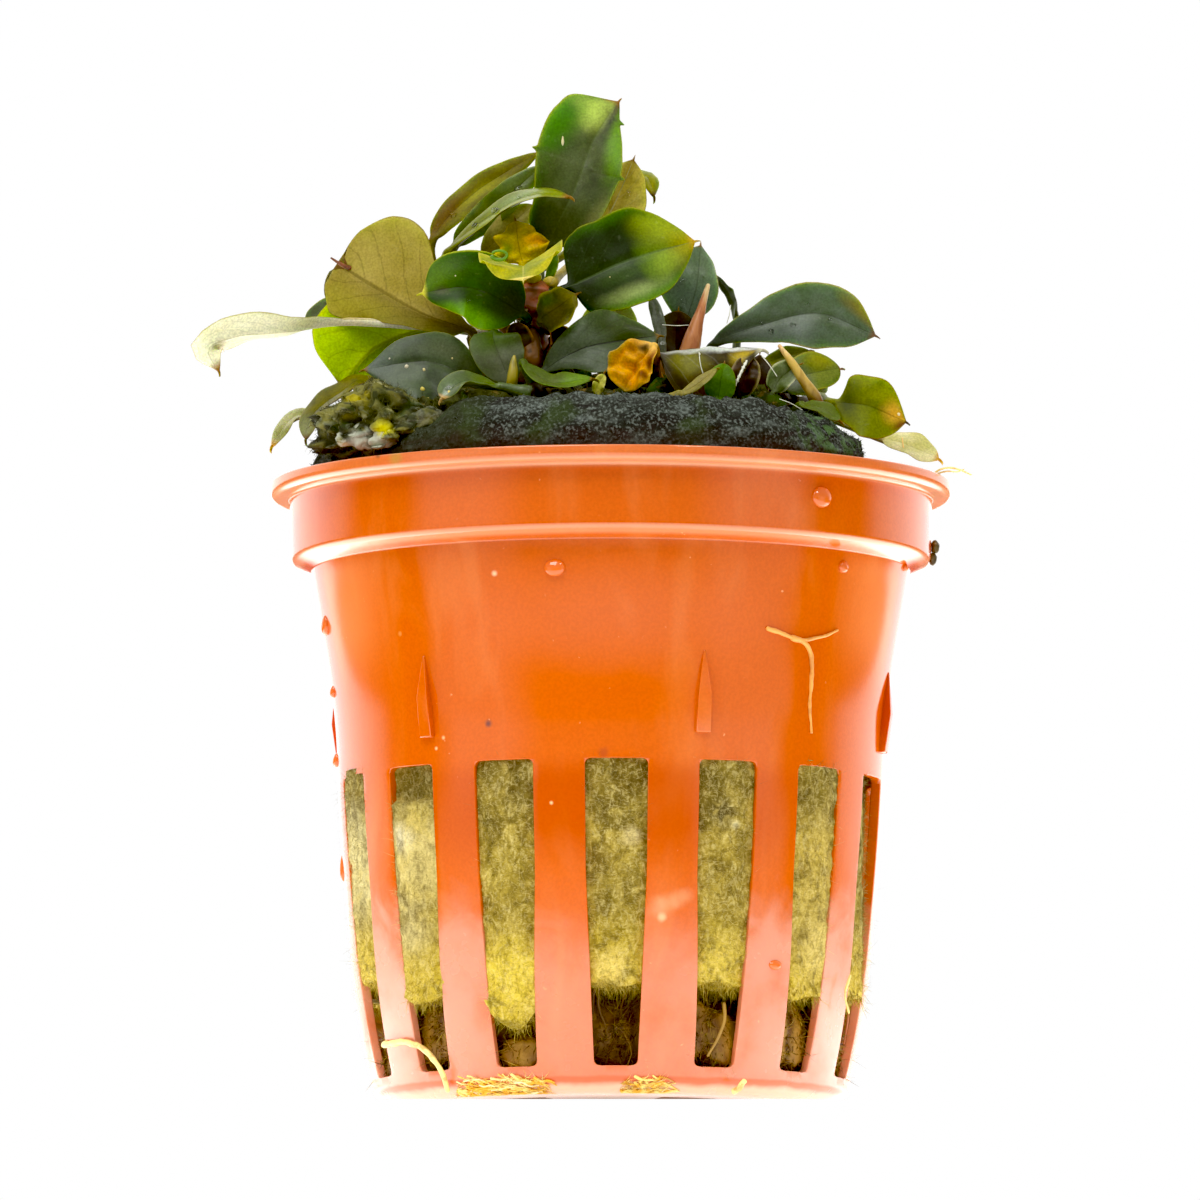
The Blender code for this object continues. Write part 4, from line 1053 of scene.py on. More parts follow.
mat_turns = np.arange(ROOT_COLUMNS) * 360 / ROOT_COLUMNS
mat_rows = [flat_ring(radius, z, mat_turns) for radius, z in ((0.8, 1.3), (5.0, 1.25), (9.5, 1.3))]
for z in np.linspace(1.4, 7.6, 22):
    mat_row = []
    for d in mat_turns:
        sx, sy = turn(d)
        radius = np.interp(z, *ROOT_SIDE)
        a = radius * math.radians(d)
        radius += 0.5 * rough(a, z * 0.4, 0, 1.4, 21) + 0.25 * rough(a, z * 0.3, 0, 0.5, 22)
        mat_row.append((sx * radius, sy * radius, z))
    mat_rows.append(mat_row)
mat_rows += [flat_ring(radius, 7.7, mat_turns) for radius in (10.0, 5.0, 0.8)]
mat_points = np.array(mat_rows).reshape(-1, 3)
mat_faces = lattice(len(mat_rows), ROOT_COLUMNS)

mat, shader, place, mark = finish("rotting_roots", 0.6)
cloud = speckle(stretched(place, 1, 1, 0.3), 500, 4, 0.8)
colour = mix(ramp(cloud, 0.35, 0.65), (92, 54, 8), (160, 116, 36))
colour = laid(colour, ramp(mark[2], 0.45, 1.0), 0.6, (172, 136, 62))
colour = laid(colour, ramp(speckle(place, 700, 4, 0.8), 0.50, 0.62), mark[1], (196, 168, 40))
cover(shader, colour)
relief(shader, speckle(place, 1500, 4), 0.7, 0.15)

root_mat = Shape()
root_mat.add(mat_points, mat_faces, (0.5, 0, 0))
for number in range(200):
    deg = draw.uniform(0, 360)
    drift = draw.uniform(-9, 9)
    top_r = draw.uniform(15.2, 18.0)
    low_r = draw.uniform(14.6, 17.0)
    line = []
    for t in np.linspace(0, 1, 5):
        sx, sy = turn(deg + drift * t + draw.uniform(-1.5, 1.5))
        radius = top_r + (low_r - top_r) * t + draw.uniform(-0.3, 0.3)
        line.append((sx * radius, sy * radius, 8.6 - 6.9 * t))
    thick = 0.05 + 0.13 * draw.random() ** 2
    points, faces, marks = stem(flowing(line, 10), np.linspace(thick, 0.5 * thick, 10), 6, seed=draw.random())
    root_mat.add(points, faces, marks)
root_fuzz = Shape()
for number, (deg, radius, z, reach, rise) in enumerate(ROOT_CLODS):
    sx, sy = turn(deg)
    points = clod((reach, reach, rise), 16, 24, 2.3 * number + 40, 0.5) + (sx * radius, sy * radius, z)
    far = np.hypot(points[:, 0], points[:, 1])
    points[:, :2] *= (np.where(far > 18.3, 18.3 + 0.3 * (far - 18.3), far) / far)[:, None]
    faces = lattice(16, 24)
    root_mat.add(points, faces, (0.4, 0.1, 0.1))
    count = 300 if abs(deg) < 80 else 60
    roots, out = scatter(points, faces, count, draw, lambda m: np.hypot(m[:, 0], m[:, 1]) > 15)
    marks = toned(draw.uniform(0.0, 0.8, count), 2)
    ways = out * 0.5 + draw.normal(0, 0.7, (count, 3)) + (0, 0, -0.6)
    lengths = draw.uniform(0.4, 1.8, count)
    grow_fibres(root_fuzz, roots, ways, lengths, draw.uniform(0.025, 0.06, count), 0.5, 2, draw, marks)
line = flowing([(8.9, -17.0, 7.2), (8.95, -17.2, 6.0), (8.5, -17.3, 4.6), (7.6, -17.3, 3.0)], 16)
root_mat.add(*stem(line, np.linspace(0.16, 0.10, 16), 8, seed=0.99))
mat_count = 4800
roots, out = scatter(mat_points, mat_faces, mat_count, draw, in_slots)
ways = out * draw.uniform(0.3, 1.2, (mat_count, 1)) + draw.normal(0, 0.5, (mat_count, 3)) + (0, 0, 0.2)
marks = toned(draw.random(mat_count) * 0.9, 2)
lengths = draw.uniform(0.4, 2.4, mat_count)
grow_fibres(root_mat, roots, ways, lengths, draw.uniform(0.02, 0.05, mat_count), 0.5, 2, draw, marks)
for roots_in_pot in (root_mat, root_fuzz):
    roots_in_pot.points = [np.maximum(points, (-99, -99, ROOTS_LOWEST_Z)) for points in roots_in_pot.points]
settle(root_mat.make("root_mat", mat), "wet_roots", "root_mass")
settle(root_fuzz.make("root_fuzz", mat), "wet_roots")

# Rhizomes and stems: the knobbly creeping stem that the leaves grow from, and the shoots that rise from it.
# It is brown and olive, ringed by old leaf scars, and the young stem in the middle is reddish.

BARK_ROUGHNESS = 0.45
RHIZOMES = {
    "rhizome_main": [
        (-12.2, -3.2, 56.7, 0.7), (-11.0, -3.7, 56.8, 1.2), (-8.0, -4.9, 57.0, 1.3), (-4.5, -5.6, 57.0, 1.4),
        (0.0, -5.2, 57.0, 1.2), (3.4, -5.0, 57.0, 1.1),
    ],
    "stem_centre": [
        (-6.1, -6.3, 57.8, 1.6), (-6.3, -7.0, 61.0, 1.3), (-6.2, -7.8, 63.3, 1.2), (-5.9, -7.6, 65.3, 1.25),
    ],
    "stem_left": [(-9.6, -5.3, 57.8, 1.0), (-10.4, -5.9, 60.2, 0.8), (-10.9, -5.8, 61.8, 0.7)],
    "stem_back_left": [
        (-12.0, -2.2, 57.0, 0.8), (-13.2, -1.2, 60.5, 0.9), (-13.6, -1.0, 63.4, 0.8),
        (-13.6, -1.2, 65.8, 0.9),
    ],
    "rhizome_right": [
        (3.2, -5.0, 57.0, 1.1), (8.6, -5.0, 57.1, 1.1), (13.0, -6.3, 56.4, 1.0), (16.0, -9.4, 55.4, 0.8),
    ],
    "rhizome_front": [(-4.5, -6.6, 56.9, 1.0), (-5.3, -11.0, 56.5, 0.8), (-6.2, -14.2, 56.2, 0.7)],
    "rhizome_back": [
        (-2.7, -4.2, 57.0, 1.0), (-2.0, 0.0, 57.1, 1.1), (-1.0, 4.5, 56.8, 1.1), (0.5, 9.0, 56.3, 0.9),
    ],
}


def bark(name, brown, second):
    """The skin of a stem: two browns in blotches, with darker blotches and pale fine scurf."""
    made, shader, place, _ = finish(name, BARK_ROUGHNESS)
    colour = mix(ramp(speckle(place, 500, 4, 0.5), 0.38, 0.62), brown, second)
    colour = laid(colour, ramp(speckle(place, 900, 4), 0.46, 0.34), 0.7, (34, 24, 12))
    cover(shader, laid(colour, ramp(speckle(place, 1400, 3), 0.64, 0.74), 0.6, (178, 150, 104)))
    relief(shader, speckle(place, 1500, 5, 0.4), 0.8, 0.18)
    return made


brown_bark = bark("rhizome_skin", (58, 42, 12), (96, 76, 22))
red_bark = bark("young_stem_skin", (150, 78, 46), (104, 62, 32))
for number, (name, points) in enumerate(RHIZOMES.items()):
    line = flowing(points, 46)
    piece = Shape()
    piece.add(*stem(line[:, :3], line[:, 3], 28, 1.1, 0.22, number + 0.37, 0.13, 1.5))
    settle(
        piece.make(name + "_skin", red_bark if name == "stem_centre" else brown_bark), "rhizome_bark", name
    )

# Fine roots and old leaf bases: a loose tangle of dark wiry roots that runs from under the stems down into
# the wool, with the brown stubs that fallen leaves have left along the rhizomes. Each is a thin bent stem.

ROOTED = ["rhizome_main", "rhizome_main", "rhizome_right", "rhizome_right", "rhizome_front", "rhizome_back"]
tangle = Shape()
draw = np.random.default_rng(21)
for number in range(120):
    name = draw.choice(ROOTED)
    line = flowing(RHIZOMES[name], 40)[:, :3]
    begin = line[draw.integers(2, 38)] + draw.normal(0, 0.5, 3) * (1, 1, 0.4)
    reach = draw.normal(0, 1, 2) * ((1.2, 1.8) if begin[0] > 9 else (2.8, 2.4))
    rise = draw.uniform(0.2, 2.6) * (0.2 if begin[1] < -8 else 1.0)
    end_x, end_y = begin[:2] + reach
    route = [
        begin,
        begin + (reach[0] * 0.3, reach[1] * 0.3 - 0.4, rise),
        begin + (reach[0] * 0.7, reach[1] * 0.7 - 0.5, rise * 0.6),
        (end_x, end_y - 0.5, min(wool_top(end_x, end_y), 55) - 0.8),
    ]
    thick = draw.uniform(0.06, 0.20)
    points, faces, marks = stem(
        flowing(route, 14), np.linspace(thick, thick * 0.6, 14), 6, 0.6, 0.3, draw.random()
    )
    tangle.add(points, faces, marks)
for number in range(46):
    name = draw.choice(["rhizome_main", "rhizome_right", "rhizome_front", "rhizome_back", "stem_centre"])
    line = flowing(RHIZOMES[name], 40)
    place = line[draw.integers(3, 37)]
    way = draw.normal(size=3) + (0, -0.6, 0.5)
    way /= np.linalg.norm(way)
    begin = place[:3] + way * place[3] * 0.6
    route = [begin, begin + way * 0.5, begin + way * draw.uniform(0.9, 1.6) + (0, 0, 0.2)]
    points, faces, marks = stem(flowing(route, 8), np.linspace(0.42, 0.26, 8), 10, 0.5, 0.5, draw.random())
    tangle.add(points, faces, marks)
settle(tangle.make("root_tangle", brown_bark), "rhizome_bark")

# Buds: new shoots still rolled in their sheaths, a tall reddish spike and a slanting orange one at the
# right, and a small yellow-green one at the front. Each is a thin tapering spike with a pale tip.

BUDS = {
    "bud_right": (
        [
            (5.6, -6.7, 57.2, 1.05), (6.0, -6.9, 59.0, 0.95), (6.5, -7.2, 61.3, 0.72),
            (7.1, -7.1, 63.4, 0.42),
            (7.8, -6.9, 65.8, 0.15),
        ],
        (160, 78, 46), (206, 136, 84), (232, 200, 140),
    ),
    "bud_far_right": (
        [
            (16.5, -11.6, 55.3, 0.62), (16.3, -11.8, 55.9, 0.56), (15.4, -12.7, 57.2, 0.42),
            (14.4, -12.9, 58.7, 0.34), (13.4, -12.9, 60.1, 0.14),
        ],
        (136, 90, 36), (204, 172, 80), (240, 206, 140),
    ),
    "bud_front": (
        [
            (-7.95, -15.6, 56.0, 0.42), (-7.8, -15.8, 57.6, 0.40), (-7.75, -15.7, 58.4, 0.26),
            (-7.7, -15.7, 58.9, 0.10),
        ],
        (98, 92, 12), (150, 136, 24), (196, 176, 50),
    ),
}
for number, (name, (points, low_colour, main_colour, tip_colour)) in enumerate(BUDS.items()):
    sheath, shader, place, mark = finish(name + "_sheath", 0.38)
    streaks = speckle(stretched(place, 1, 1, 0.25), 1500, 3, 0.3)
    wobble = scaled(streaks, 0.3, calc("SUBTRACT", mark[0], 0.15))
    colour = mix(ramp(wobble, 0.02, 0.42), low_colour, main_colour)
    colour = mix(ramp(wobble, 0.80, 0.96), colour, tip_colour)
    colour = laid(colour, ramp(streaks, 0.52, 0.40), 0.45, low_colour)
    cover(shader, colour)
    let_light_in(shader, 0.2, (1.0, 0.5, 0.2), 0.5)
    relief(shader, streaks, 0.5, 0.10)
    line = flowing(points, 30)
    piece = Shape()
    piece.add(*stem(line[:, :3], line[:, 3], 20, 0.7, 0.12, number + 0.6))
    settle(piece.make(name + "_spike", sheath), "bud_skin", name)

# Leaves: each is one piece from the foot of its stalk, sunk in the rhizome, through a thin blade with a
# sunk midrib and a wavy margin, to a small hooked tip. The blade is a closed sheet, thicker at the rib, its
# upper side glossy and wet. This function builds one, and each group of leaves below calls it.

BLADE_STATIONS = (0.0, 0.08, 0.22, 0.40, 0.60, 0.78, 0.92, 1.0)
CROSS = (0.0, 0.05, 0.11, 0.20, 0.31, 0.43, 0.55, 0.67, 0.78, 0.87, 0.94, 0.98, 1.0)
STALK_RADIUS = 0.34
STALK_SINKS = 1.0
RIB_THICKNESS = 0.50
BLADE_THICKNESS = 0.26
OLIVE_UNDER = (120, 122, 60)
BROWN_TIP = (128, 92, 28)
leaf_surfaces = {}


def leaf_line(points, samples=24):
    """A smooth line through the points, with the distance along it at each sample."""
    knots = np.array(points, float)
    ends = np.vstack([2 * knots[0] - knots[1], knots, 2 * knots[-1] - knots[-2]])
    line = []
    for k in range(len(knots) - 1):
        a, b, c, d = ends[k : k + 4]
        for t in np.linspace(0, 1, samples, endpoint=False):
            square = (2 * a - 5 * b + 4 * c - d) * t * t
            line.append(0.5 * (2 * b + (c - a) * t + square + (3 * b - a - 3 * c + d) * t**3))
    line = np.array(line + [knots[-1]])
    return line, np.concatenate([[0], np.cumsum(np.linalg.norm(np.diff(line, axis=0), axis=1))])


def half_width(sides, sign, u):
    """Half the blade's width on one side at this share of its length."""
    if len(sides) == 2:
        return max(float(through(BLADE_STATIONS, sides[0 if sign > 0 else 1], u)), 0.03)
    width, widest, blunt = sides
    v = min(max(u, 0.0), 1.0) ** widest
    return max(width / 2 * (4 * v * (1 - v)) ** blunt, 0.32 if u < 0.3 else 0.03)


def leaf_skin(name, base, deep, edge, tip, under, veins, dabs, gloss, wet):
    """A leaf's skin: two greens in clouds, dabs of other colours, veins, a coloured margin, a brown tip."""
    made, shader, place, mark = finish(name, gloss)
    run, across, upper = mark
    cloud = speckle(place, 520, 3, 0.4)
    cells = speckle(place, 5600, 2)
    out = calc("ABSOLUTE", across)
    shift = scaled(cloud, 0.16, -0.08)
    colour = mix(ramp(cloud, 0.36, 0.64), base, deep)
    for u, c, reach_u, reach_c, dab_colour in dabs:
        du = calc("DIVIDE", calc("SUBTRACT", calc("ADD", run, shift), u), reach_u)
        dc = calc("DIVIDE", calc("SUBTRACT", calc("ADD", across, shift), c), reach_c)
        gone = calc("SQRT", calc("ADD", calc("POWER", du, 2.0), calc("POWER", dc, 2.0)))
        colour = mix(ramp(gone, 1.3, 0.15), colour, dab_colour)
    below = mix(0.55, colour, under)
    colour = mix(ramp(upper, 0.4, 0.6), below, colour)
    lines = calc("SUBTRACT", times(run, 32.0), times(out, 14.0))
    lines = calc("ADD", lines, times(cloud, 3.0))
    vein = ramp(calc("SINE", lines), 0.93, 1.0)
    rib = ramp(out, 0.045, 0.010)
    marked = calc("MAXIMUM", times(vein, veins[2]), rib)
    marked = times(marked, times(ramp(out, 1.0, 0.7), veins[1]))
    colour = mix(marked, colour, veins[0])
    rim = ramp(calc("ADD", out, times(shift, 0.25)), 1 - edge[1], 1.0)
    colour = laid(colour, rim, 0.85, edge[0])
    colour = mix(ramp(scaled(shift, 0.2, run), tip[1], 1.0), colour, tip[0])
    colour = laid(colour, ramp(cells, 0.30, 0.70), 0.42, mix(0.6, colour, (0, 0, 0)))
    dust = ramp(speckle(place, 2400, 3), 0.62, 0.74)
    colour = laid(colour, dust, 0.10, mix(0.4, colour, (214, 214, 170)))
    cover(shader, colour, 0.20)
    wire(shader, "Roughness", scaled(speckle(place, 900, 3), 0.22, gloss - 0.05))
    shader.inputs["Coat Weight"].default_value = wet
    shader.inputs["Coat Roughness"].default_value = 0.25
    let_light_in(shader, 0.25, (0.6, 1.0, 0.2), 0.6)
    lumps = scaled(marked, -0.8, times(cells, 0.35))
    relief(shader, calc("ADD", lumps, times(cloud, 0.8)), 0.35, 0.10)
    return made


def leaf(
    node, slot, points, sides, facing, fold, curl, base, deep, edge=((96, 92, 20), 0.07),
    tip=(BROWN_TIP, 0.96),
    under=OLIVE_UNDER, veins=((30, 34, 16), 0.35, 0.25), dabs=(), gloss=0.40, wet=0.0, wave=(0.12, 2.2, 0.0),
    thorns=(), hook=0.5, notch=0.0, crumple=0.0, bunch=34, stalk=STALK_RADIUS,
):
    """Builds one leaf from the line, outline, facing, fold and curl of its solid. A scrap has no solid."""
    line, along = leaf_line(points)
    start = along[24]
    length = along[-1] - start
    seed = float(node[-2:]) * 1.7
    shares = [0.5 - 0.5 * math.cos(math.pi * k / bunch) for k in range(bunch + 1)]
    shares += [
        u + step
        for u, sign, size in thorns
        for step in (-0.022, -0.012, -0.005, 0.0, 0.005, 0.012, 0.022)
    ]
    stations = [(d, None) for d in np.linspace(-STALK_SINKS, start * 0.96, 10)]
    stations += [(start + u * length, u) for u in sorted(shares)]
    stations += [(along[-1] + hook * s, 1.0 + s) for s in (0.35, 0.7, 1.0)] if hook else []
    ring_cross = [(s * c, 1) for s, cs in ((-1, CROSS[:0:-1]), (1, CROSS)) for c in cs]
    ring_cross += [(s * c, 0) for s, cs in ((1, CROSS[-2::-1]), (-1, CROSS[1:-1])) for c in cs]
    rows = []
    marks = []
    for distance, u in stations:
        inside = min(max(distance, 0.0), along[-1])
        here = np.array([np.interp(inside, along, line[:, k]) for k in range(3)])
        step = 0.02 * along[-1]
        low, high = max(inside - step, 0), min(inside + step, along[-1])
        ahead = np.array(
            [np.interp(high, along, line[:, k]) - np.interp(low, along, line[:, k]) for k in range(3)]
        )
        ahead /= np.linalg.norm(ahead)
        side = np.cross(ahead, np.array(facing, float))
        side /= np.linalg.norm(side)
        up = np.cross(side, ahead)
        here = here + ahead * (distance - inside)
        thick = stalk * (1 + 0.8 * math.exp(-max(distance + 0.4, 0) / 0.7))
        if u is not None and u > 1:
            here = here - up * hook * 0.55 * (u - 1) ** 2
        row = []
        for c, top in ring_cross:
            sign = 1 if c >= 0 else -1
            out = abs(c)
            place = math.pi / 2 * (1 - out)
            lift_sign = 1 if top else -1
            round_point = here + thick * (side * sign * math.cos(place) + up * lift_sign * math.sin(place))
            if u is None:
                row.append(round_point)
                marks.append((distance / start - 1, c, top))
                continue
            v = min(u, 1.0)
            half = half_width(sides, sign, v)
            if u > 1:
                half = max(0.10 * (2.05 - u), 0.02)
            half += min(half, 1.0) * 0.12 * rough(v * length, 3.0 * sign, 0, 1.5, seed + 2)
            for where, thorn_sign, size in thorns:
                if thorn_sign == sign:
                    half += size * math.exp(-(((u - where) / 0.010) ** 2))
            share = min(4 * v, 4 * (1 - v), 1)
            angle = math.radians(fold) * share + math.radians(curl) * share * out / 2
            x = half * out * math.cos(angle)
            y = half * out * math.sin(angle)
            flat = min(half / 2.0, 1.0) * share
            y += wave[0] * flat * out**2 * math.sin(
                2 * math.pi * (wave[1] * v + wave[2]) + (0.8 if sign > 0 else 0)
            )
            y += 0.16 * flat * rough(v * length, c * half, 0, 1.9, seed)
            y += crumple * flat * rough(v * length, c * half, 4, 0.9, seed + 5)
            y -= 0.10 * flat * math.exp(-((out * half / 0.30) ** 2))
            y -= 0.03 * flat * max(0.0, math.sin(46 * v - 15 * out)) ** 6 * (1 - out)
            thin = BLADE_THICKNESS * (1 - 0.35 * v) * (1 - out**4) * 0.5
            if not top:
                thin += (RIB_THICKNESS - BLADE_THICKNESS) * (1 - 0.6 * v) * math.exp(
                    -((out * half / 0.32) ** 2)
                )
            back = 0.0
            if notch and v > 0.7:
                lobe = 1.05 * out**4 - 0.35 if sign > 0 else 0.3 * out**4
                back = ((v - 0.7) / 0.3) ** 2 * (notch * math.exp(-((out / 0.16) ** 2)) + lobe)
            lift = -math.sin(angle) * sign * side + math.cos(angle) * up
            blade_point = here + side * sign * x + up * y + lift * lift_sign * thin - ahead * back
            blend = min(max(v / 0.07, 0.0), 1.0)
            row.append(round_point + (blade_point - round_point) * blend * blend * (3 - 2 * blend))
            marks.append((u, c, top))
        rows.append(row)
    grid = np.array(rows)
    faces = lattice(len(rows), len(ring_cross))
    centre = grid.reshape(-1, 3).mean(axis=0)
    quads = (grid.reshape(-1, 3) - centre)[[f for f in faces if len(f) == 4]]
    if np.einsum("ij,ij->i", quads[:, 0], np.cross(quads[:, 1], quads[:, 2])).sum() < 0:
        faces = [f[::-1] for f in faces]
    shape = Shape()
    shape.add(grid, faces, np.array(marks))
    skin = leaf_skin(node + "_skin", base, deep, edge, tip, under, veins, dabs, gloss, wet)
    blade = shape.make(node + "_blade", skin)
    leaf_surfaces[node] = (stations, ring_cross, grid)
    return settle(blade, slot, *([node] if node.startswith("leaf_") else []))


# Lead shoot at the top: the tall dark leaf with thorny margins, the olive leaf and the curled yellow-green
# tip behind it, the big dark leaf with a yellow end, and the small leaves at its foot, all on the reddish
# stem.

leaf(
    "leaf_01", "leaf_dark",
    [(-5.8, -6.6, 66.2), (-5.3, -4.8, 69.0), (-3.0, -5.2, 73.5), (-1.5, -4.8, 77.6), (0.6, -3.8, 81.1)],
    ((0.4, 2.1, 2.9, 3.2, 3.2, 2.1, 0.8, 0.1), (0.4, 1.9, 2.7, 3.6, 4.1, 4.0, 3.0, 0.1)),
    (-0.05, -0.97, 0.20), 6, 8,
    (74, 84, 40), (54, 62, 26), edge=((116, 122, 10), 0.05), tip=((146, 96, 20), 0.95),
    veins=((92, 108, 60), 0.35, 0.15), thorns=((0.52, 1, 0.45), (0.885, 1, 0.45), (0.55, -1, 0.40)),
    dabs=(
        # Painted sheen: the first dab, low on the blade, and the pale second dab near the top lighten it for
        # the sheen there.
        (0.10, 0.0, 0.26, 1.2, (78, 86, 44)), (0.87, -0.45, 0.16, 0.60, (182, 200, 84)),
        (0.74, -0.80, 0.22, 0.50, (62, 112, 0)), (0.72, 0.72, 0.24, 0.36, (98, 138, 0)),
        (0.28, 0.90, 0.16, 0.32, (112, 110, 62)), (0.97, 0.35, 0.07, 0.5, (96, 92, 46)),
        (0.50, -0.15, 0.22, 0.40, (84, 94, 54)),
    ),
)
leaf(
    "leaf_02", "leaf_olive", [(-4.6, -7.4, 66.1), (-1.9, -1.2, 69.6), (0.1, 0.0, 73.0), (1.8, 0.5, 77.0)],
    ((0.4, 0.8, 1.6, 2.3, 2.5, 1.9, 1.1, 0.1), (0.4, 0.6, 1.2, 1.6, 1.7, 1.4, 0.8, 0.1)), (0.20, -0.95, 0.20),
    6, 8,
    (198, 174, 72), (162, 142, 48), edge=((90, 60, 12), 0.06), veins=((186, 180, 120), 0.7, 0.3),
)
leaf(
    "leaf_03", "leaf_bright", [(-7.2, -6.0, 66.2), (-0.6, 2.8, 71.8), (2.5, 3.4, 76.0), (3.5, 3.0, 74.4)],
    (3.0, 1.10, 0.70), (0.30, -0.40, 0.85), 10, 0, (150, 146, 10), (120, 126, 6), tip=((96, 70, 14), 0.9),
)
leaf(
    "leaf_04", "leaf_dark", [(-4.6, -8.4, 64.9), (-3.5, -8.6, 65.3), (1.4, -9.4, 67.4), (6.7, -8.4, 69.1)],
    ((0.4, 2.6, 3.3, 3.8, 3.8, 2.8, 1.3, 0.1), (0.4, 2.9, 4.0, 4.1, 4.1, 3.1, 1.4, 0.1)), (0.00, -0.97, 0.16),
    3, 5,
    (36, 50, 22), (24, 36, 12), edge=((118, 128, 10), 0.05), tip=((190, 150, 24), 0.93),
    veins=((88, 108, 60), 0.5, 0.1),
    dabs=(
        (0.40, 0.20, 0.22, 0.30, (58, 78, 36)), (0.46, 0.76, 0.30, 0.28, (140, 156, 84)),
        (0.64, 0.20, 0.12, 0.60, (84, 112, 20)), (0.60, 0.98, 0.42, 0.24, (78, 118, 2)),
        # Painted highlight: the dab at (0.76, 0.30) lightens the upper right for a highlight.
        (0.80, -0.62, 0.24, 0.70, (142, 156, 0)), (0.76, 0.30, 0.16, 0.50, (134, 158, 40)),
        (0.98, 0.0, 0.20, 1.3, (156, 152, 0)), (0.46, -0.95, 0.35, 0.22, (50, 78, 8)),
    ),
)
leaf(
    "leaf_20", "leaf_bright",
    [(-6.4, -8.7, 66.3), (-6.9, -10.6, 66.5), (-7.0, -13.8, 66.3), (-7.0, -17.0, 64.9)],
    (7.4, 1.00, 0.62), (-0.16, -0.15, 0.97), 14, 16, (188, 178, 2), (140, 146, 0), under=(190, 178, 4),
    edge=((200, 192, 40), 0.08), tip=((248, 226, 120), 0.95), veins=((210, 200, 90), 0.4, 0.25), hook=0.35,
    wave=(0.34, 2.6, 0.15), gloss=0.5,
)
leaf(
    "leaf_21", "leaf_bright",
    [(-7.2, -7.0, 66.4), (-7.1, -6.0, 67.6), (-7.4, -5.8, 69.0), (-7.7, -5.4, 71.2)],
    ((0.4, 1.4, 2.3, 2.6, 1.7, 1.5, 0.7, 0.1), (0.4, 1.6, 2.6, 1.6, 2.1, 1.0, 0.6, 0.1)), (0.00, -0.95, 0.20),
    14, 10,
    (206, 178, 10), (172, 154, 0), edge=((206, 166, 20), 0.16), wave=(0.5, 3.1, 0.4), crumple=0.7,
    dabs=((0.45, 0.6, 0.22, 0.5, (226, 166, 20)), (0.35, -0.6, 0.2, 0.3, (130, 140, 0))), gloss=0.5,
)
leaf(
    "leaf_22", "leaf_olive",
    [(-5.2, -9.4, 62.2), (-5.6, -10.8, 62.4), (-4.5, -11.6, 63.2), (-2.8, -11.4, 64.4)],
    ((0.4, 1.2, 1.7, 1.9, 1.7, 1.2, 0.7, 0.1), (0.4, 1.0, 1.4, 1.6, 1.6, 1.3, 0.6, 0.1)), (0.10, -0.95, 0.30),
    14, 10,
    (98, 90, 24), (76, 76, 14), edge=((160, 146, 16), 0.20), wave=(0.3, 2.4, 0.3), crumple=0.3,
    dabs=((0.9, 0.0, 0.25, 1.2, (126, 118, 4)), (0.4, -0.6, 0.25, 0.4, (66, 84, 4))),
)

# Long narrow leaves rising from the left behind the lead leaf: two olive ones, a dark one, and in front of
# them a wet pale-green one whose yellow tip crosses the lead leaf.

leaf(
    "leaf_23", "leaf_olive",
    [(-13.9, -2.2, 66.6), (-14.4, -2.8, 69.9), (-11.2, -2.4, 73.7), (-5.9, -1.4, 77.3)],
    (2.5, 0.80, 0.65), (-0.35, -0.92, 0.10), 8, 0, (124, 118, 0), (104, 94, 0), edge=((106, 70, 8), 0.10),
    dabs=((0.2, -0.3, 0.25, 0.8, (110, 82, 2)), (0.45, 0.2, 0.2, 0.4, (146, 142, 20))), gloss=0.5,
)
leaf(
    "leaf_24", "leaf_dark",
    [(-13.2, -0.4, 66.6), (-12.6, -3.2, 69.4), (-9.1, -3.6, 72.7), (-5.6, -3.4, 75.9)],
    (2.5, 0.90, 0.60), (0.10, -0.92, 0.15), 8, 0, (92, 102, 12), (62, 78, 2), gloss=0.4, wet=0.3,
    dabs=((0.75, 0.0, 0.3, 1.0, (96, 112, 44)),),
)
leaf(
    "leaf_25", "leaf_bright",
    [(-13.2, -2.6, 66.2), (-13.2, -5.2, 68.6), (-8.9, -6.2, 72.0), (-5.7, -7.2, 73.1), (-3.4, -8.0, 72.8)],
    (2.8, 1.30, 0.65), (0.05, -0.50, 0.86), 10, 0, (122, 132, 26), (100, 110, 0), edge=((150, 148, 0), 0.14),
    tip=((150, 104, 30), 0.93), wet=0.35, gloss=0.30,
    dabs=(
        # Painted sheen: the first dab, a pale grey-green, stands for the sheen on this leaf.
        (0.62, -0.2, 0.20, 0.5, (132, 148, 84)), (0.86, 0.2, 0.18, 1.0, (136, 148, 0)),
        (0.1, 0.0, 0.25, 1.2, (114, 116, 0)), (0.45, 0.7, 0.4, 0.4, (130, 140, 6)),
    ),
)
leaf(
    "leaf_26", "leaf_olive",
    [(-12.6, -1.6, 66.8), (-10.4, -4.0, 68.6), (-8.3, -3.6, 70.9), (-6.3, -3.0, 72.8)],
    (2.4, 1.00, 0.60), (0.20, -0.94, 0.15), 8, 0, (184, 170, 90), (152, 142, 64), edge=((150, 144, 56), 0.10),
)

# Right side: the large blue-green leaf that reaches over the rim, the round one with droplets behind the
# reddish bud, the folded olive leaf below it with its orange decaying neighbour, and the smaller leaves at
# the far right.

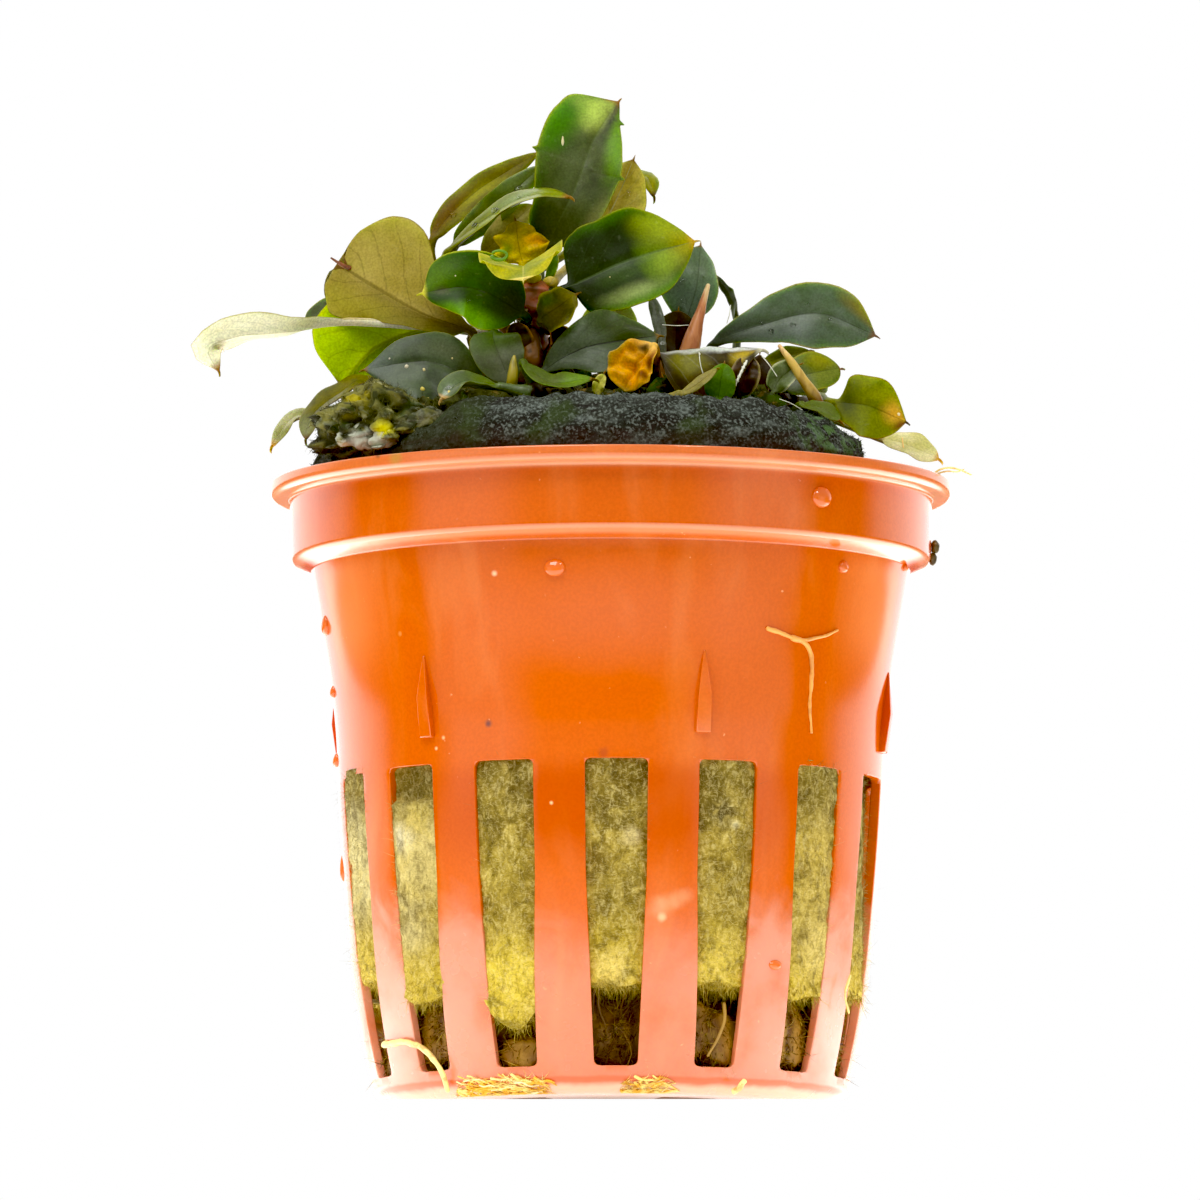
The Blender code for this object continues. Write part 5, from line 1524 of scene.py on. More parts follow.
# Painted sheen: this leaf's grey-blue colours are partly the soft sheen on a dark green blade.
leaf(
    "leaf_05", "leaf_dark", [(5.0, -3.5, 58.7), (6.0, -4.2, 63.0), (6.9, -4.4, 66.0), (7.2, -3.8, 69.4)],
    ((0.4, 0.8, 1.5, 1.8, 1.5, 1.1, 0.5, 0.1), (0.4, 1.2, 2.4, 3.3, 3.3, 2.6, 1.4, 0.1)), (0.05, -0.97, 0.20),
    4, 6,
    (98, 118, 84), (84, 104, 68), edge=((104, 100, 30), 0.05), wet=0.3,
    dabs=((0.25, 0.0, 0.35, 1.3, (98, 118, 98)),), veins=((58, 70, 46), 0.5, 0.2),
)
leaf(
    "leaf_06", "leaf_dark", [(9.9, -3.5, 58.6), (10.2, 0.5, 63.9), (9.6, 1.2, 65.8), (8.5, 1.0, 67.6)],
    (4.0, 1.00, 0.60), (0.85, 0.15, 0.50), 5, 0, (70, 80, 34), (54, 64, 30), under=(96, 108, 66),
)
# Painted sheen: this leaf's grey-blue colours are partly the soft sheen on a dark green blade.
leaf(
    "leaf_07", "leaf_dark",
    [(7.8, -3.4, 58.7), (8.1, -4.2, 61.2), (12.4, -5.6, 62.8), (16.7, -6.4, 63.5), (21.2, -6.0, 61.8)],
    ((0.4, 0.5, 1.1, 1.9, 3.0, 2.6, 1.4, 0.1), (0.4, 0.7, 1.4, 2.2, 2.6, 2.5, 1.3, 0.1)), (0.00, -0.96, 0.20),
    2, 3,
    (88, 102, 80), (74, 90, 60), edge=((130, 98, 26), 0.06), tip=((110, 76, 46), 0.95), wet=0.2,
    veins=((50, 60, 42), 0.4, 0.1),
    dabs=(
        (0.88, -0.80, 0.14, 0.45, (116, 102, 26)), (0.45, 0.55, 0.35, 0.5, (86, 98, 82)),
        (0.10, 0.0, 0.25, 1.2, (66, 78, 62)),
    ),
)
leaf(
    "leaf_08", "leaf_olive",
    [(3.0, -11.6, 57.6), (3.7, -12.3, 59.3), (8.0, -12.9, 60.0), (12.1, -12.6, 59.8)],
    ((0.4, 3.4, 4.6, 4.9, 4.2, 2.9, 1.2, 0.1), (0.4, 1.0, 1.5, 2.0, 2.0, 1.5, 0.8, 0.1)), (0.05, -0.35, 0.94),
    -24, -72,
    (66, 54, 2), (46, 34, 0), under=(58, 46, 2), edge=((92, 66, 22), 0.06),
    tip=((206, 200, 170), 0.90), veins=((190, 190, 170), 0.5, 0.15), crumple=0.2, wave=(0.14, 2.1, 0.3),
    dabs=(
        (0.60, 0.06, 0.60, 0.13, (206, 210, 198)), (0.04, 0.6, 0.10, 0.9, (44, 32, 6)),
        (0.30, 0.35, 0.20, 0.3, (120, 116, 4)), (0.50, 0.80, 0.26, 0.35, (84, 52, 4)),
        (0.80, 0.40, 0.12, 0.3, (176, 152, 24)),
    ),
)
leaf(
    "leaf_09", "leaf_dying", [(3.6, -10.0, 58.0), (3.4, -14.6, 59.8), (2.0, -15.0, 58.1), (1.1, -15.2, 56.1)],
    ((0.4, 1.0, 1.7, 2.1, 2.3, 2.0, 1.2, 0.1), (0.3, 0.6, 1.0, 1.3, 1.6, 1.5, 0.9, 0.1)),
    (-0.30, -0.95, 0.10), 10, 0,
    (236, 168, 20), (196, 128, 0), edge=((226, 172, 50), 0.2),
    tip=((150, 122, 10), 0.85), under=(200, 130, 12), veins=((236, 190, 80), 0.25, 0.25), gloss=0.55,
    dabs=(
        (0.05, 0.0, 0.25, 1.2, (236, 186, 84)), (0.30, -0.8, 0.2, 0.5, (120, 60, 0)),
        (0.62, -0.6, 0.12, 0.4, (136, 76, 4)), (0.20, 0.3, 0.08, 0.3, (96, 70, 30)),
    ),
    crumple=1.2, hook=0.0, wave=(0.3, 3.4, 0.2),
)
leaf(
    "leaf_29", "leaf_olive",
    [(16.9, -8.8, 56.2), (18.0, -12.6, 55.5), (20.5, -13.4, 55.2), (23.5, -12.4, 54.0)],
    ((0.5, 1.2, 2.0, 2.8, 2.7, 2.0, 1.1, 0.1), (0.5, 1.6, 2.3, 2.4, 2.3, 1.6, 0.7, 0.1)), (0.05, -0.97, 0.20),
    4, 6,
    (130, 134, 0), (102, 110, 0), edge=((120, 78, 10), 0.08), tip=((60, 44, 16), 0.96), gloss=0.5,
    dabs=(
        (0.84, -0.2, 0.22, 0.70, (206, 158, 40)), (0.94, 0.5, 0.12, 0.5, (120, 76, 20)),
        (0.4, 0.6, 0.3, 0.5, (110, 118, 2)), (0.15, 0.0, 0.2, 0.9, (66, 74, 0)),
    ),
)
leaf(
    "leaf_30", "leaf_pale", [(17.2, -7.0, 55.2), (21.7, -8.0, 53.2), (23.7, -8.0, 52.7), (26.2, -8.0, 51.6)],
    (3.4, 1.10, 0.60), (0.10, -0.65, 0.75), 8, 0, (222, 212, 150), (196, 188, 108), under=(222, 212, 150),
    edge=((168, 150, 70), 0.10), tip=((196, 140, 40), 0.88), veins=((150, 150, 80), 0.3, 0.25),
)
leaf(
    "leaf_31", "leaf_dark",
    [(14.4, -8.9, 57.2), (13.8, -10.4, 57.0), (15.6, -10.8, 58.0), (18.3, -10.0, 58.6)],
    (3.6, 1.00, 0.55), (0.00, -0.93, 0.34), 6, 8, (108, 118, 30), (92, 108, 14), edge=((140, 132, 20), 0.12),
    dabs=((0.2, 0.0, 0.3, 1.2, (112, 120, 96)), (0.7, -0.6, 0.25, 0.5, (138, 136, 2))),
)
leaf(
    "leaf_32", "leaf_bright",
    [(14.4, -9.6, 55.0), (15.2, -13.0, 55.3), (16.8, -13.6, 54.9), (18.2, -14.2, 53.9)],
    (1.8, 1.00, 0.60), (0.00, -0.60, 0.80), 10, 0, (96, 112, 40), (84, 98, 16),
)
leaf(
    "leaf_33", "leaf_olive", [(11.4, -7.6, 56.2), (11.6, -8.8, 56.0), (11.8, -9.0, 57.8), (11.9, -8.8, 59.9)],
    (3.9, 0.55, 0.80), (0.00, -0.95, 0.20), 10, 0, (62, 40, 16), (46, 28, 10), edge=((92, 70, 30), 0.05),
)
leaf(
    "leaf_34", "leaf_bright",
    [(8.5, -14.6, 55.0), (8.5, -14.9, 55.5), (8.7, -15.1, 56.8), (9.0, -14.9, 58.4)],
    (2.6, 0.70, 0.60), (0.00, -0.99, 0.10), 10, 0, (88, 128, 0), (68, 106, 0), hook=0.25, gloss=0.5,
)
leaf(
    "leaf_35", "leaf_pale", [(4.9, -15.6, 55.5), (5.5, -15.9, 55.8), (6.8, -16.1, 56.5), (8.4, -16.1, 57.8)],
    (1.2, 1.00, 0.60), (-0.50, -0.80, 0.40), 10, 0, (150, 138, 66), (120, 112, 44), hook=0.25,
)
leaf(
    "leaf_36", "leaf_olive", [(5.4, -6.7, 58.0), (5.2, -6.0, 60.0), (5.2, -5.6, 61.8), (5.4, -5.2, 63.9)],
    (3.6, 0.90, 0.55), (0.00, -0.95, 0.20), 8, 0, (66, 44, 16), (48, 32, 12), edge=((100, 80, 40), 0.05),
)
leaf(
    "leaf_37", "leaf_bright",
    [(12.0, -4.4, 57.8), (12.2, -4.6, 59.4), (14.0, -4.5, 60.3), (15.9, -4.3, 60.8)],
    (1.9, 1.00, 0.60), (0.00, -0.80, 0.60), 8, 0, (140, 140, 10), (118, 124, 6),
)
# Painted glare: this narrow leaf, seen edge-on, is coloured pale blue-grey for the wet glare on it.
leaf(
    "leaf_38", "leaf_dark", [(4.0, -7.0, 58.2), (4.1, -8.0, 60.8), (3.7, -8.1, 62.9), (3.2, -7.6, 64.9)],
    (1.2, 1.00, 0.60), (0.30, -0.90, 0.10), 8, 0, (150, 156, 140), (112, 118, 96), wet=0.8, gloss=0.2,
)

# Left side: the bright green leaf with a yellow margin, the big notched olive leaf seen from below with
# dark veins, the long pale leaf that hangs out past the rim, and the yellow-green one that light shines
# through.

leaf(
    "leaf_11", "leaf_bright",
    [(-6.9, -9.4, 62.3), (-7.0, -10.4, 62.9), (-11.0, -10.8, 65.0), (-15.1, -10.6, 64.6)],
    ((0.4, 1.4, 2.6, 3.1, 3.1, 2.8, 1.7, 0.1), (0.4, 1.8, 3.0, 3.3, 2.9, 2.0, 1.0, 0.1)), (0.05, -0.95, 0.26),
    4, 8,
    (46, 82, 0), (34, 62, 0), edge=((160, 172, 20), 0.06), tip=((216, 206, 60), 0.94),
    dabs=(
        (0.10, 0.1, 0.30, 1.1, (48, 56, 10)), (0.88, 0.45, 0.26, 0.6, (78, 112, 0)),
        (0.48, -0.90, 0.42, 0.48, (104, 156, 0)), (0.84, -0.05, 0.10, 0.24, (66, 74, 34)),
    ),
)
leaf(
    "leaf_12", "leaf_olive",
    [(-10.9, -7.4, 61.0), (-11.4, -8.4, 62.0), (-15.3, -7.8, 63.5), (-19.6, -6.6, 66.1), (-21.9, -5.9, 67.7)],
    ((0.4, 1.0, 1.2, 1.7, 2.6, 3.6, 3.8, 3.2), (0.4, 0.8, 1.9, 4.2, 5.9, 5.9, 4.8, 3.2)), (0.15, 0.95, 0.28),
    4, 6,
    (166, 146, 64), (140, 124, 30), under=(170, 150, 66), edge=((116, 76, 20), 0.035),
    tip=((110, 74, 30), 0.995), veins=((72, 58, 6), 0.50, 0.5), notch=1.1, hook=0.0, gloss=0.5,
    dabs=(
        (0.08, 0.0, 0.30, 1.3, (86, 58, 2)), (0.55, 0.5, 0.25, 0.4, (124, 114, 2)),
        (0.85, -0.2, 0.2, 0.5, (180, 160, 80)), (0.75, 0.7, 0.3, 0.4, (170, 162, 20)),
    ),
)
leaf(
    "leaf_13", "leaf_pale",
    [
        (-10.9, -5.2, 62.3), (-21.0, -6.2, 62.9), (-25.8, -9.6, 61.9), (-29.8, -11.5, 61.3),
        (-32.1, -12.0, 60.2),
        (-31.3, -12.0, 58.2),
    ],
    ((0.3, 0.5, 0.9, 1.4, 2.0, 2.0, 1.0, 0.1), (0.3, 0.5, 0.9, 1.4, 2.0, 2.0, 1.0, 0.1)), (-0.10, 0.50, 0.86),
    5, 8,
    (240, 237, 204), (224, 220, 172), under=(244, 240, 208), edge=((150, 126, 40), 0.09),
    tip=((140, 96, 26), 0.93), veins=((150, 146, 80), 0.45, 0.5), gloss=0.5,
    dabs=((0.3, -0.4, 0.16, 0.6, (184, 178, 76)), (0.0, 0.0, 0.2, 1.2, (190, 156, 84))),
)
leaf(
    "leaf_14", "leaf_bright",
    [(-12.4, -4.6, 60.4), (-14.4, -3.4, 62.7), (-19.0, -3.7, 61.1), (-21.7, -4.9, 57.8)],
    ((0.4, 0.8, 1.6, 2.2, 2.2, 1.8, 1.0, 0.1), (0.4, 1.2, 3.4, 5.0, 5.2, 4.4, 2.6, 0.1)), (-0.10, 0.97, 0.20),
    4, 6,
    (176, 198, 0), (150, 172, 0), under=(180, 202, 0), edge=((120, 120, 10), 0.04),
    veins=((96, 100, 0), 0.5, 0.5), gloss=0.55,
)
leaf(
    "leaf_15", "leaf_dark",
    [(-14.9, 0.0, 62.8), (-19.4, -0.8, 64.3), (-22.2, -1.0, 64.7), (-24.6, -1.6, 63.4)],
    (3.0, 1.10, 0.55), (0.00, -0.60, 0.80), 8, 0, (74, 84, 44), (60, 68, 26), edge=((120, 92, 30), 0.12),
)
leaf(
    "leaf_27", "leaf_olive",
    [(-13.6, -4.2, 57.0), (-19.2, -7.0, 58.2), (-21.8, -7.0, 57.0), (-23.9, -7.1, 55.3), (-24.5, -7.3, 53.3)],
    (3.4, 0.90, 0.60), (-0.40, -0.50, 0.80), 10, 0, (116, 108, 4), (92, 88, 8), edge=((120, 84, 20), 0.08),
    tip=((110, 84, 50), 0.93), dabs=((0.9, 0.0, 0.18, 1.3, (140, 142, 96)),),
)
leaf(
    "leaf_28", "leaf_pale",
    [(-13.6, -3.0, 56.6), (-21.4, -2.5, 54.9), (-25.2, -2.5, 55.7), (-27.3, -2.8, 53.3)],
    (2.6, 1.10, 0.55), (-0.20, -0.40, 0.90), 10, 0, (168, 164, 108), (136, 136, 66),
    edge=((112, 90, 36), 0.08),
    tip=((190, 140, 40), 0.90),
)

# Low in the centre: dark leaves lying close over the wool, a grey-green one in front of the stem, a small
# curled one, and a slim green one that lies on the algae.

# Painted sheen: this leaf's grey-blue colours are partly the soft sheen on a dark green blade.
leaf(
    "leaf_10", "leaf_dark",
    [(-5.0, -9.4, 58.4), (-5.5, -11.4, 58.1), (-2.1, -12.2, 60.0), (3.8, -11.2, 61.1)],
    ((0.4, 0.5, 1.2, 2.4, 2.8, 2.4, 1.2, 0.1), (0.4, 0.8, 1.5, 2.4, 2.8, 2.0, 0.9, 0.1)), (0.00, -0.95, 0.30),
    4, 6,
    (88, 101, 72), (70, 83, 52), edge=((56, 72, 22), 0.06), veins=((16, 20, 10), 0.85, 0.2), wet=0.1,
    dabs=((0.78, -0.45, 0.40, 0.8, (50, 64, 4)), (0.35, 0.1, 0.3, 0.7, (84, 96, 72))),
)
# Painted sheen: this leaf's grey-blue colours are partly the soft sheen on a dark green blade.
leaf(
    "leaf_16", "leaf_dark",
    [(-9.0, -7.0, 57.4), (-9.6, -10.5, 56.9), (-14.4, -11.6, 58.9), (-19.7, -11.0, 58.4)],
    ((0.4, 0.7, 1.8, 2.6, 2.4, 1.8, 0.8, 0.1), (0.4, 0.8, 2.3, 3.9, 3.9, 2.6, 1.0, 0.1)),
    (-0.05, -0.93, 0.34), 4, 8,
    (76, 90, 58), (54, 66, 40), edge=((72, 70, 20), 0.05), wet=0.15, veins=((30, 34, 16), 0.35, 0.1),
    dabs=(
        (0.9, 0.2, 0.2, 1.0, (80, 92, 76)), (0.08, 0.2, 0.22, 1.2, (36, 30, 18)),
        (0.35, 0.5, 0.3, 0.4, (80, 90, 56)),
    ),
)
leaf(
    "leaf_17", "leaf_dark",
    [(-7.8, -8.6, 60.6), (-9.4, -12.0, 61.2), (-8.9, -13.0, 59.2), (-7.9, -13.6, 56.8)],
    ((0.5, 1.5, 2.1, 2.1, 1.9, 1.4, 0.7, 0.1), (0.5, 1.5, 2.1, 2.1, 1.9, 1.4, 0.7, 0.1)), (0.00, -0.95, 0.30),
    5, 6,
    (80, 90, 54), (68, 76, 42), edge=((80, 88, 20), 0.06),
    dabs=((0.05, 0.0, 0.38, 1.3, (64, 90, 4)), (0.6, 0.0, 0.3, 0.6, (84, 90, 62))),
)
leaf(
    "leaf_18", "leaf_dark",
    [(-7.4, -16.6, 56.0), (-8.9, -16.8, 56.3), (-11.8, -17.6, 56.4), (-13.4, -18.4, 55.2)],
    (3.0, 1.20, 0.50), (-0.20, -0.50, 0.85), 22, 0, (92, 108, 66), (74, 88, 44), edge=((112, 124, 20), 0.10),
    tip=((186, 150, 90), 0.92), wet=0.35, gloss=0.30,
    dabs=(
        (0.88, 0.0, 0.14, 0.4, (170, 182, 160)), (0.70, 0.0, 0.2, 0.9, (84, 102, 56)),
        (0.2, 0.0, 0.3, 1.2, (84, 104, 6)),
    ),
)
leaf(
    "leaf_19", "leaf_bright",
    [(-6.4, -13.6, 57.4), (-7.0, -14.4, 58.5), (-4.9, -15.6, 56.8), (-1.5, -16.2, 57.0)],
    (2.4, 1.10, 0.60), (0.20, -0.60, 0.75), 12, 0, (92, 104, 46), (80, 98, 26), edge=((104, 132, 30), 0.16),
    dabs=((0.85, 0.0, 0.25, 1.2, (104, 136, 30)),),
)

# Back and sides: eight more leaves that the front hides, on the rhizome's back arm, so that the plant is
# whole all round. They are of the same kinds as those in front, and arch outwards over the rim.

GREEN = ((62, 86, 34), (46, 66, 28))
OLIVE = ((108, 104, 30), (86, 88, 20))
for node, slot, points, width, facing, curl, (base, deep) in (
    (
        "leaf_39", "leaf_dark", [(-2.6, 2.0, 58.7), (-4.5, 4.5, 60.5), (-7.5, 7.0, 62.3), (-10.5, 9.0, 62.3)],
        6.0, (0.10, 0.35, 0.93), 8, GREEN,
    ),
    (
        "leaf_40", "leaf_bright",
        [(-2.3, 5.6, 58.0), (-4.0, 9.0, 59.3), (-6.5, 12.5, 60.6), (-9.0, 15.5, 60.0)], 6.2,
        (0.10, 0.30, 0.95), 8, ((74, 112, 10), (56, 92, 10)),
    ),
    (
        "leaf_41", "leaf_dark", [(0.6, 6.0, 58.0), (3.5, 8.5, 59.5), (6.5, 11.0, 61.0), (10.0, 13.0, 60.4)],
        5.6, (0.00, 0.30, 0.95), 0, GREEN,
    ),
    (
        "leaf_42", "leaf_dark", [(1.2, 10.2, 57.4), (2.5, 12.5, 58.6), (3.5, 16.0, 59.8), (4.5, 19.5, 58.6)],
        5.4, (0.10, 0.20, 0.97), 0, GREEN,
    ),
    (
        "leaf_43", "leaf_olive",
        [(-0.4, 10.4, 57.2), (-2.0, 13.5, 57.6), (-3.4, 17.0, 58.2), (-4.2, 20.5, 56.8)], 5.0,
        (-0.10, 0.20, 0.97), 0, OLIVE,
    ),
    (
        "leaf_44", "leaf_olive", [(-0.8, 3.0, 58.8), (-0.5, 4.5, 61.0), (0.0, 6.0, 64.0), (0.8, 7.2, 66.6)],
        5.0, (-0.10, 0.90, 0.40), 0, OLIVE,
    ),
    (
        "leaf_45", "leaf_dark", [(9.6, -2.8, 57.6), (11.0, 0.0, 58.8), (14.0, 4.0, 59.6), (17.0, 7.5, 58.6)],
        5.4, (0.00, 0.20, 0.97), 0, GREEN,
    ),
    (
        "leaf_46", "leaf_bright",
        [(-13.6, 0.2, 59.6), (-14.5, 2.5, 60.0), (-17.0, 6.0, 60.6), (-20.0, 9.5, 59.4)], 5.6,
        (0.00, 0.30, 0.95), 0, ((84, 110, 14), (60, 88, 14)),
    ),
):
    leaf(
        node, slot, points, (width, 1.0, 0.55), facing, 6, curl, base, deep, edge=((120, 126, 24), 0.08),
        dabs=((0.95, 0.0, 0.25, 1.3, (116, 128, 12)), (0.4, 0.0, 0.3, 0.4, (92, 108, 60))),
        wave=(0.18, 2.6, float(node[-1]) / 7), bunch=26,
    )

# Scraps of leaf: a pale-edged green sliver and an olive piece behind the curled tip, the torn tip that
# sticks out of the algae, and bits of old blades between the stems. They are parts of dead leaves, caught
# among the live ones.

for name, points, width, base, deep, margin in (
    (
        "scrap_51", [(-5.3, -7.6, 65.4), (-5.1, -7.9, 66.0), (-4.7, -8.2, 67.0), (-4.4, -8.2, 68.1)], 0.9,
        (70, 104, 4), (52, 84, 0), (176, 180, 60),
    ),
    (
        "scrap_52", [(-6.0, -5.4, 66.4), (-5.9, -5.0, 67.4), (-5.4, -4.6, 68.8), (-4.7, -4.4, 70.6)], 2.3,
        (126, 114, 14), (96, 92, 4), (150, 128, 30),
    ),
    (
        "scrap_53", [(-1.1, -14.6, 55.4), (-1.1, -14.9, 55.9), (-1.0, -15.1, 56.6), (-0.6, -15.2, 57.5)], 1.1,
        (206, 202, 84), (176, 178, 40), (220, 214, 130),
    ),
    (
        "scrap_54", [(-6.9, -9.2, 59.2), (-7.0, -9.7, 59.8), (-7.4, -10.1, 60.9), (-7.7, -10.2, 62.3)], 2.4,
        (96, 72, 20), (66, 54, 10), (190, 128, 40),
    ),
    (
        "scrap_55", [(-4.5, -9.4, 58.6), (-4.3, -9.9, 59.4), (-3.9, -10.3, 60.6), (-4.6, -10.4, 62.0)], 2.2,
        (104, 74, 28), (60, 44, 14), (214, 140, 60),
    ),
    (
        "scrap_56", [(10.2, -12.9, 55.4), (10.2, -13.3, 56.0), (10.6, -13.7, 57.4), (11.0, -13.4, 59.2)], 2.6,
        (70, 46, 18), (48, 30, 10), (150, 128, 80),
    ),
    (
        "scrap_57", [(12.6, -12.0, 55.6), (12.9, -12.4, 56.4), (13.6, -12.6, 57.6), (15.0, -12.3, 58.6)], 2.2,
        (112, 124, 84), (88, 102, 50), (196, 198, 150),
    ),
):
    leaf(
        name, "leaf_olive", points, (width, 0.9, 0.55), (0.05, -0.95, 0.25), 14, 12, base, deep,
        edge=(margin, 0.22), wave=(0.3, 2.3, 0.2), crumple=0.5, stalk=0.16, bunch=26,
    )

# Old leaf bases: brown sheaths that fallen leaves have left, drawn round the foot of each stem, with
# orange-brown scars. Each is a short tapering stub that is part of the rhizome.

SHEATHS = (
    ((-7.4, -7.6, 57.6), (-8.5, -8.6, 62.2), 1.25), ((-5.0, -8.0, 58.0), (-4.2, -9.0, 61.6), 1.25),
    ((-6.2, -8.8, 57.2), (-6.4, -9.4, 61.6), 1.5), ((-3.4, -7.2, 57.2), (-2.2, -8.2, 60.2), 1.1),
    ((-9.2, -7.2, 57.0), (-10.6, -8.0, 60.2), 1.15), ((-11.6, -6.4, 56.8), (-12.6, -7.2, 59.6), 1.0),
    ((0.6, -7.0, 57.0), (1.6, -7.8, 59.6), 1.0), ((3.8, -7.2, 57.0), (3.4, -8.2, 60.6), 1.1),
    ((7.9, -7.0, 57.0), (8.4, -8.0, 60.4), 1.1), ((9.6, -6.6, 57.0), (10.6, -7.6, 59.6), 1.0),
    ((12.4, -7.6, 56.4), (12.9, -8.8, 58.6), 0.9), ((-6.0, -8.4, 62.4), (-4.7, -9.0, 64.6), 0.8),
    ((-6.6, -8.4, 62.0), (-7.7, -8.9, 64.2), 0.7),
)
old_bark = bark("old_sheath_skin", (84, 58, 22), (140, 92, 44))
sheaths = Shape()
for number, (foot, top, radius) in enumerate(SHEATHS):
    foot = np.array(foot)
    top = np.array(top)
    line = flowing([foot, (foot + top) / 2 + (0, -0.4, 0), top], 14)
    sheaths.add(*stem(line, np.linspace(radius, 0.4 * radius, 14), 18, 0.9, 0.30, number + 0.2, 0.12, 1.1))
settle(sheaths.make("old_leaf_bases", old_bark), "rhizome_bark")

# Stray roots: a forked dry one stuck on the pot's wall at the right, a pale one that leaves the lowest slot
# at the left and crosses the foot, and fine ones over the lip. Each is a thin bent root that has dried
# where it lay.


def on_wall(deg, z, off=0.0):
    """The place on the outside of the pot at this angle and height, or this far out from it."""
    sx, sy = turn(deg)
    radius = off + (float(through(*POT_WALL_OUTSIDE, z)) if z < 43.4 else 25.85 if z < 49.2 else 27.5)
    return np.array((sx * radius, sy * radius, z))


FORK_ROOT = ((32.4, 36.7), (36.0, 36.4), (40.7, 36.0), (45.0, 36.3), (48.0, 36.6), (51.0, 37.1))
FORK_BRANCH = (
    (38.5, 36.1), (41.5, 35.9), (43.6, 35.2), (44.6, 34.0), (44.9, 32.5), (44.9, 31.0), (45.6, 29.4),
    (45.8, 28.8),
)
STRAY_ROOTS = (
    ([on_wall(*place, 0.10) for place in FORK_ROOT], 0.21, 0.09, 0.2),
    ([on_wall(*place, 0.10) for place in FORK_BRANCH], 0.24, 0.10, 0.1),
    (
        [
            (-17.0, -7.4, 5.2), (-17.95, -8.6, 4.6), (-16.2, -11.8, 4.5), (-14.6, -13.8, 3.6),
            (-13.3, -14.6, 1.7), (-12.9, -13.9, 0.5),
        ],
        0.30, 0.20, 0.7,
    ),
    (
        [(25.6, -5.4, 50.5), (26.5, -5.2, 51.1), (27.2, -5.2, 51.2), (27.9, -5.3, 51.05), (28.9, -5.4, 50.6)],
        0.10, 0.06, 0.8,
    ),
    ([(25.8, -6.4, 50.5), (27.1, -6.2, 50.8), (27.7, -6.2, 50.75), (28.3, -6.2, 50.95)], 0.08, 0.05, 0.8),
    ([(23.3, -8.6, 53.2), (23.35, -8.8, 52.6), (23.5, -8.9, 52.0)], 0.06, 0.04, 0.5),
    ([(9.7, -16.6, 0.25), (10.1, -17.2, 0.5), (10.5, -17.9, 1.0)], 0.26, 0.20, 0.7),
    ([(19.0, -9.6, 10.0), (18.6, -9.9, 8.4), (18.9, -9.5, 7.0)], 0.12, 0.08, 0.6),
)
dry_root, shader, place, mark = finish("dry_root", 0.45)
colour = mix(ramp(mark[2], 0.15, 0.8), (240, 166, 78), (252, 226, 140))
colour = laid(colour, ramp(speckle(place, 900, 4), 0.50, 0.66), 0.6, (188, 112, 40))
cover(shader, colour)
relief(shader, speckle(place, 2400, 3), 0.6, 0.08)
strays = Shape()
for points, thick, thin, paleness in STRAY_ROOTS:
    line = flowing(points, 10 * len(points))
    strays.add(*stem(line, np.linspace(thick, thin, len(line)), 10, 0.6, 0.35, paleness))
settle(strays.make("stray_roots", dry_root), "wet_roots")

# White threads and a beaded stalk: bits of fungus thread and of a dead flower stalk among the leaves at the
# right, each thinner than a hair or little more, stretched from one leaf to the next.

THREADS = (
    ([(4.1, -9.6, 62.2), (5.2, -9.8, 62.1), (6.2, -9.4, 62.2)], 0.03, 0.0),
    ([(7.0, -14.2, 59.4), (7.1, -14.6, 58.4), (7.4, -14.6, 57.3)], 0.035, 0.0),
    ([(9.6, -4.9, 64.4), (9.5, -5.2, 63.6), (9.3, -5.2, 62.9)], 0.035, 0.0),
    ([(12.0, -13.4, 59.2), (12.6, -13.8, 58.4), (13.2, -13.8, 57.5)], 0.04, 0.0),
    ([(13.4, -14.4, 55.6), (14.3, -14.8, 55.2), (15.2, -14.6, 54.7)], 0.035, 0.0),
    ([(10.9, -13.4, 58.9), (10.6, -14.2, 58.3), (10.1, -14.6, 57.2), (9.5, -14.8, 55.9)], 0.09, 0.9),
    ([(-8.6, -9.4, 63.4), (-7.6, -9.6, 62.6), (-6.4, -9.8, 62.2)], 0.03, 0.0),
)
thread_skin, shader, *_ = finish("white_thread", 0.4)
cover(shader, (226, 226, 204))
threads = Shape()
for number, (points, thick, beads) in enumerate(THREADS):
    line = flowing(points, 40)
    threads.add(*stem(line, np.linspace(thick, thick, 40), 8, 0.5, 0.3, 0.1 * number, beads, 0.42))
settle(threads.make("white_threads", thread_skin), "leaf_pale")

# Green curl and brown hook: a ring of new growth that lies on the curled yellow leaf, and the dried hook at
# the notch of the big leaf seen from below. Each is a thin bent stalk that has grown from its leaf.

curl_skin, shader, *_ = finish("green_curl", 0.4)
cover(shader, (92, 140, 6))
curl = Shape()
ring_line = [
    (-8.9 + 0.62 * math.cos(a), -16.2 - 0.2 * math.sin(a), 66.9 + 0.34 * math.sin(a))
    for a in np.linspace(-2.9, 2.6, 26)
]
curl.add(*stem(ring_line, np.linspace(0.16, 0.10, 26), 8))
settle(curl.make("green_curl", curl_skin), "leaf_bright")
hook_line = flowing([(-21.0, -6.4, 67.2), (-21.7, -6.6, 67.5), (-22.5, -6.7, 68.0)], 12)
brown_hook = Shape()
brown_hook.add(*stem(hook_line, np.linspace(0.22, 0.07, 12), 8, 0.5, 0.2))
settle(brown_hook.make("notch_hook", red_bark), "leaf_dying")

# Tufts at the foot: yellow and orange shreds of old wool, squeezed out between the pot's foot and the table
# at the front, and the dark crumb caught under the collar at the right.

